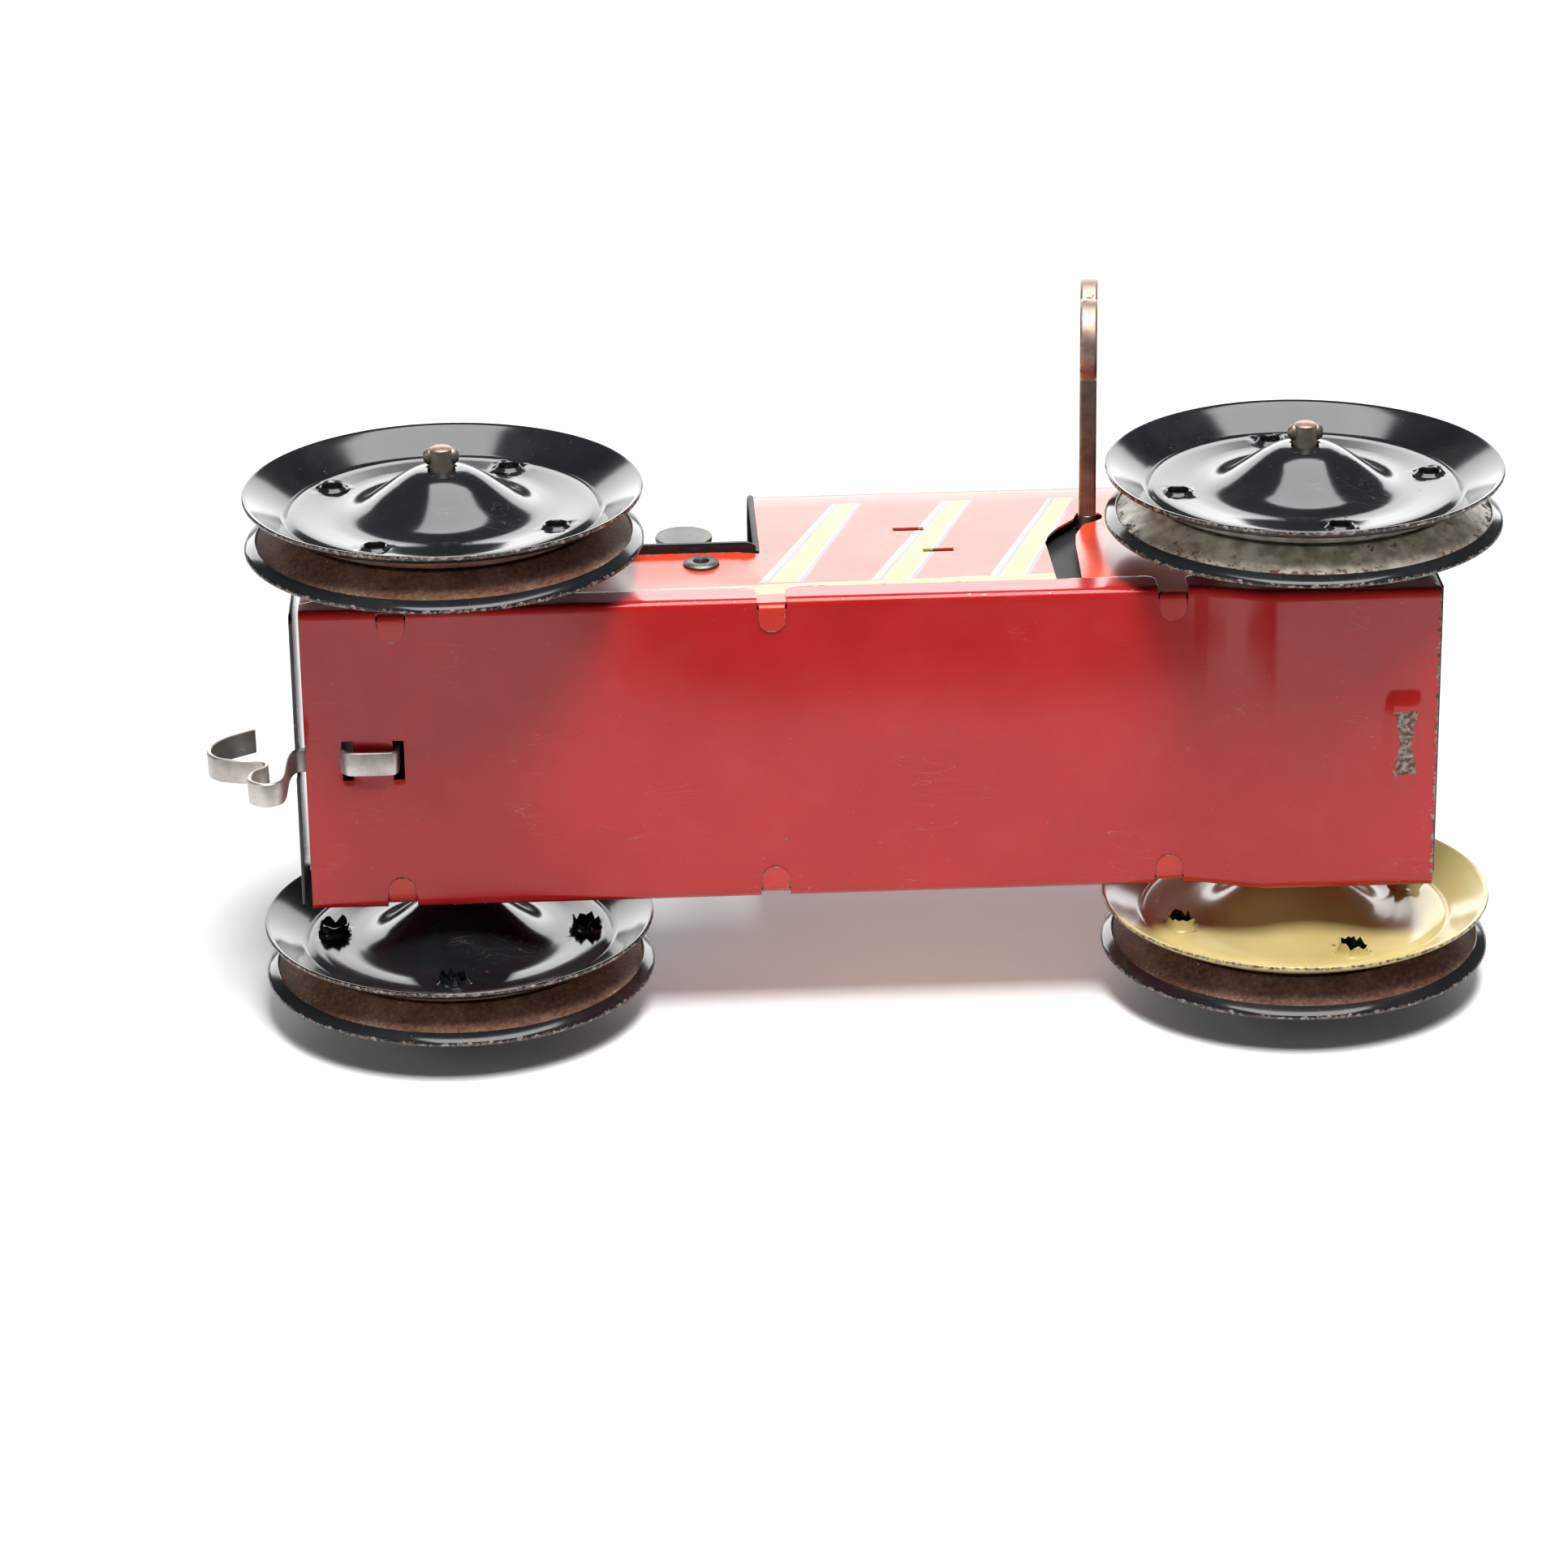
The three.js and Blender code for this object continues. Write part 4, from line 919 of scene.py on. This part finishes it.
def tow_hook():
    """One strip of steel with rounded edges, swept along its bends."""
    path = smooth_path(HOOK, 220)
    half, thick = 2.1, 0.4
    section = []
    for side in (1, -1):
        section += [(side * (half - 0.32), side * thick), (side * (half - 0.1), side * 0.3),
                    (side * half, side * 0.12), (side * half, side * -0.12),
                    (side * (half - 0.1), side * -0.3)]
    points = []
    for i, (x, z) in enumerate(path):
        heading = heading_at(path, i)
        for y, out in section:
            sway = 0.12 * wave(x, 0, z, 9, 3)
            points.append((x - heading.y * out, y + sway, z + heading.x * out))
    count = len(section)
    faces = ring_faces(len(path), count)
    faces += [tuple(range(count)), tuple(reversed(range(len(points) - count, len(points))))]
    piece = build("tow_hook_strip", points, faces, [steel], wear=lambda p: 0.2)
    return own(piece, "chassis", "steel", "tow_hook")


def winding_arbor():
    journal = lathe([(0.01, -26.5), (1.6, -26.5), (1.6, -1.4), (0.01, -1.4)], 28)
    half, cut = 1.45, 0.3
    square = [(half, -half + cut), (half, half - cut), (half - cut, half), (cut - half, half),
              (-half, half - cut), (-half, cut - half), (cut - half, -half), (half - cut, -half)]
    shaft = prism(square, -52.15, -26.4, across)
    points, faces = merged(journal, shaft)
    piece = build("winding_shaft", points, faces, [brown_steel], at=(ARBOR[0], 0, ARBOR[1]))
    piece.rotation_euler.y = KEY_TURN
    return own(bevel(piece, 0.12, 2), "winding_set", "rusty_steel", "winding_arbor")


def key_grip():
    """Two lobes of one thick plate, with soft worn edges."""
    y0, lobe, off = -59.4, 6.9, 5.6
    waist = math.degrees(math.acos(off / lobe))
    upper = arc((y0, off), lobe, waist - 90, 270 - waist, 22)
    lower = arc((y0, -off), lobe, 90 + waist, 450 - waist, 22)
    outline = upper[:-1] + lower[:-1]
    points, faces = prism(outline, -1.45, 1.45, along)
    piece = build("key_grip_plate", points, faces, [rusty], at=(ARBOR[0], 0, ARBOR[1]))
    piece.rotation_euler.y = KEY_TURN
    return own(bevel(piece, 0.45, 4), "winding_set", "rusty_steel", "key_grip")


def link(start, r0, end, r1, steps=14):
    """A bar with round ends, as an outline."""
    heading = math.degrees(math.atan2(end[1] - start[1], end[0] - start[0]))
    lean = math.degrees(math.acos((r0 - r1) / math.dist(start, end)))
    near = arc(start, r0, heading + lean, heading - lean + 360, steps)
    return near + arc(end, r1, heading - lean, heading + lean, steps)


LEVER_FACES = (-24.95, -24.15)
LEVER_BOSS = 3.7                # the blade's radius round its hinge; no hole there, unlike the CAD's


def lever():
    """The start and stop lever: a paddle above the deck, and a finger to the escapement inside."""
    paddle = (PADDLE[0] - LEVER[0], PADDLE[1] - LEVER[1])
    low, high = LEVER_FACES
    arm = prism(link((0, 0), LEVER_BOSS, paddle, 2.4), low, high, across)
    pad = prism(circle(paddle, 4.85, 40), low - 0.02, high + 0.02, across)
    x, z = ANCHOR[0] - 8.2 - LEVER[0], ANCHOR[1] - 5.4 - LEVER[1]
    finger = prism(link((0, 0), LEVER_BOSS, (x, z + 0.7), 1.2), low + 0.02, high - 0.02, across)
    pin = prism([(x - 0.6, z), (x + 0.6, z), (x + 0.6, z + 1.4), (x - 0.6, z + 1.4)], low, -12.4, across)
    points, faces = merged(arm, pad, finger, pin)
    piece = build("lever_blade", points, faces, [zinc], at=(LEVER[0], 0, LEVER[1]))
    return own(bevel(piece, 0.16, 2), "lever_set", "steel", "start_stop_lever")


def lever_rivet():
    """A hollow rivet rolled over outside the side panel."""
    outer, inner = -26.15, LEVER_FACES[0] + 1.1
    profile = [(1.15, outer - 0.3), (1.4, outer - 0.62), (2.0, outer - 0.74), (2.6, outer - 0.62),
               (3.0, outer - 0.35), (3.1, outer), (1.6, outer), (1.6, inner), (2.8, inner),
               (2.8, inner + 0.45), (1.1, inner + 0.5)]
    points, faces = lathe(profile, 48)
    faces = [tuple(reversed(face)) for face in faces]
    piece = build("lever_eyelet", points, faces, [dark_steel], at=(LEVER[0], 0, LEVER[1]))
    return own(piece, "chassis", "steel", "lever_rivet")


LUGS = ((6.8, 34), (11.2, 23.5))
LUG_TURN = (-32, 24)
LUG_CURL = (0.0, 0.14)
LUG_ROWS = (                    # height across the tractor, share of the twist, and the two edges
    ((-23.2, 0, -2.2, 2.2), (-25.9, 0, -2.2, 2.2), (-26.4, 0.4, -2.5, 2.3), (-26.9, 0.8, -1.9, 2.3),
     (-27.6, 1, -0.4, 2.2), (-28.2, 1.05, 0.9, 2.1), (-28.7, 1.1, 1.7, 2.1)),
    ((-23.2, 0, -2.2, 2.2), (-25.9, 0, -2.2, 2.2), (-26.5, 0.3, -2.4, 2.5), (-27.0, 0.8, -1.9, 2.8),
     (-27.6, 1, -0.7, 2.9), (-28.1, 1.05, 0.8, 2.8), (-28.5, 1.1, 1.9, 2.6)),
)
PLATE = [(-14, 8), (-3, 2.4), (66, 2.4), (80, 5), (80, 22), (64, 42), (54, 55), (22, 55), (-14, 35)]
PILLARS = ((-10, 12), (10, 44), (60.5, 37), (30, 6.5))


def motor_plate():
    """The right motor plate. Open fault: its two twisted lugs are built, but cut_out drops them.

    The lugs overlap the plate, and the cut is made without use_self, so they are missing from the
    finished mesh and from the render.
    """
    parts = [prism(PLATE, -23.6, -22.8, across)]
    for (x, z), turn, curl, rows in zip(LUGS, LUG_TURN, LUG_CURL, LUG_ROWS):
        points = []
        for y, share, left, right in rows:
            a = math.radians(turn * share)
            for u, v in ((right, -0.24), (right, 0.24), (left, 0.24), (left, -0.24)):
                v += curl * share * u * u
                points.append((x + u * math.cos(a) - v * math.sin(a), y,
                               z + u * math.sin(a) + v * math.cos(a)))
        faces = ring_faces(len(rows), 4)
        faces += [(3, 2, 1, 0), tuple(range(len(points) - 4, len(points)))]
        parts.append((points, faces))
    points, faces = merged(*parts)
    piece = build("motor_plate_lugs", points, faces, [dull_black], wear=lambda p: 0.4 if p[1] < -28 else 0.1)
    bevel(piece, 0.08, 2)
    bores = [(ARBOR, 1.9), *[(spot, 1.3) for spot in TRAIN], ((AXLES["front"], AXLE_HEIGHT), 2.4)]
    bores += [(spot, 1.4) for spot in PILLARS]
    cut_out(piece, [(circle(spot, radius, 20), -30, -22) for spot, radius in bores])
    return own(piece, "chassis", "black_paint", "motor_plate_right")


wheels()
for end, x in AXLES.items():
    axle_piece(f"{end}_axle", f"{end}_axle_set", (x, 0, AXLE_HEIGHT))
body_shell()
side_tabs()
bottom_pan()
rear_wall()
radiator()
rear_deck()
dash()
seat()
steering()
tow_hook()
winding_arbor()
key_grip()
lever()
lever_rivet()
motor_plate()

CAD_FINISHES = {
    steel: ("motor_plate_left", "frame_pillar_1", "frame_pillar_2", "frame_pillar_3", "frame_pillar_4",
            "ratchet_wheel", "click", "drive_pinion", "second_arbor", "escape_arbor", "escape_anchor"),
    brass: ("axle_gear", "great_wheel", "second_wheel", "escape_wheel"),
    blued: ("mainspring", "click_spring"),
}
for material, nodes in CAD_FINISHES.items():
    for node_name in nodes:
        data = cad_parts[node_name].data
        data.materials.clear()
        data.materials.append(material)


# ---- table, light and camera

def card(name, colour, roughness):
    material = bpy.data.materials.new(name)
    material.use_nodes = True
    surface = material.node_tree.nodes["Principled BSDF"]
    surface.inputs["Base Color"].default_value = colour
    surface.inputs["Roughness"].default_value = roughness
    return material


def table():
    """The white table under the left axle ends. Its back is clear, so views from below see past it."""
    reach = 9000
    points = [(-reach, TABLE, -reach), (-reach, TABLE, reach), (reach, TABLE, reach), (reach, TABLE, -reach)]
    material = card("white_table", rgb(0.76, 0.76, 0.77), 0.6)
    tree = material.node_tree
    surface = tree.nodes["Principled BSDF"]
    clear = tree.nodes.new("ShaderNodeBsdfTransparent")
    geometry = tree.nodes.new("ShaderNodeNewGeometry")
    pick = tree.nodes.new("ShaderNodeMixShader")
    tree.links.new(geometry.outputs["Backfacing"], pick.inputs[0])
    tree.links.new(surface.outputs[0], pick.inputs[1])
    tree.links.new(clear.outputs[0], pick.inputs[2])
    tree.links.new(pick.outputs[0], tree.nodes["Material Output"].inputs["Surface"])
    build("white_table", points, [(3, 2, 1, 0)], [material], closed=False)


def softbox(name, place, aim, width, height, watts, seen_by=("diffuse", "glossy")):
    light = bpy.data.lights.new(name, "AREA")
    light.shape = "RECTANGLE"
    light.size, light.size_y = width, height
    light.energy = watts
    lamp = bpy.data.objects.new(name, light)
    lamp.location = place
    lamp.rotation_euler = (Vector(aim) - Vector(place)).to_track_quat("-Z", "Y").to_euler()
    lamp.visible_diffuse = "diffuse" in seen_by
    lamp.visible_glossy = "glossy" in seen_by
    bpy.context.scene.collection.objects.link(lamp)


def studio():
    world = bpy.data.worlds.new("studio")
    world.use_nodes = True
    background = world.node_tree.nodes["Background"]
    background.inputs[0].default_value = rgb(0.95, 0.97, 1.0)
    background.inputs[1].default_value = 0.10
    bpy.context.scene.world = world
    bpy.context.scene.view_settings.view_transform = "Standard"
    softbox("key_light", (0.1, -1.35, -0.5), (0, 0, 0), 0.45, 0.6, 42, ["diffuse"])
    softbox("overhead_sheen", (0.13, -1.35, -0.28), (0.13, 0, -0.2), 1.1, 1.65, 50, ["glossy"])
    softbox("backdrop", (0.0, -0.62, 2.2), (0, 0, 0), 2.8, 1.05, 38)
    softbox("left_fill", (-1.6, -0.6, -1.0), (0, 0, 0), 0.8, 0.8, 5)


def flag():
    """A dark card on the table, just in front of the picture, that only reflections see."""
    y = TABLE - 1
    outline = [(-46, -150), (76, -150), (76, -290), (2500, -290), (2500, -3000), (-2500, -3000),
               (-2500, -290), (-46, -290)]
    shade = build("front_flag", [(x, y, z) for x, z in outline], [tuple(range(len(outline)))],
                  [card("dark_card", rgb(0.02, 0.02, 0.02), 0.9)], closed=False)
    shade.visible_camera = False
    shade.visible_diffuse = False
    shade.visible_shadow = False


def camera():
    data = bpy.data.cameras.new("camera")
    data.lens = 123.54
    data.sensor_width = 36
    view = Vector((0.035523, 0.387339, 0.921253))
    up = Vector((0.030166, -0.921830, 0.386419))
    right = view.cross(up).normalized()
    turn = Matrix((right, right.cross(view), -view)).transposed().to_4x4()
    spot = bpy.data.objects.new("camera", data)
    spot.matrix_world = Matrix.Translation((-0.04804, -0.34049, -0.82443)) @ turn
    bpy.context.scene.collection.objects.link(spot)
    bpy.context.scene.camera = spot


table()
flag()
studio()
camera()
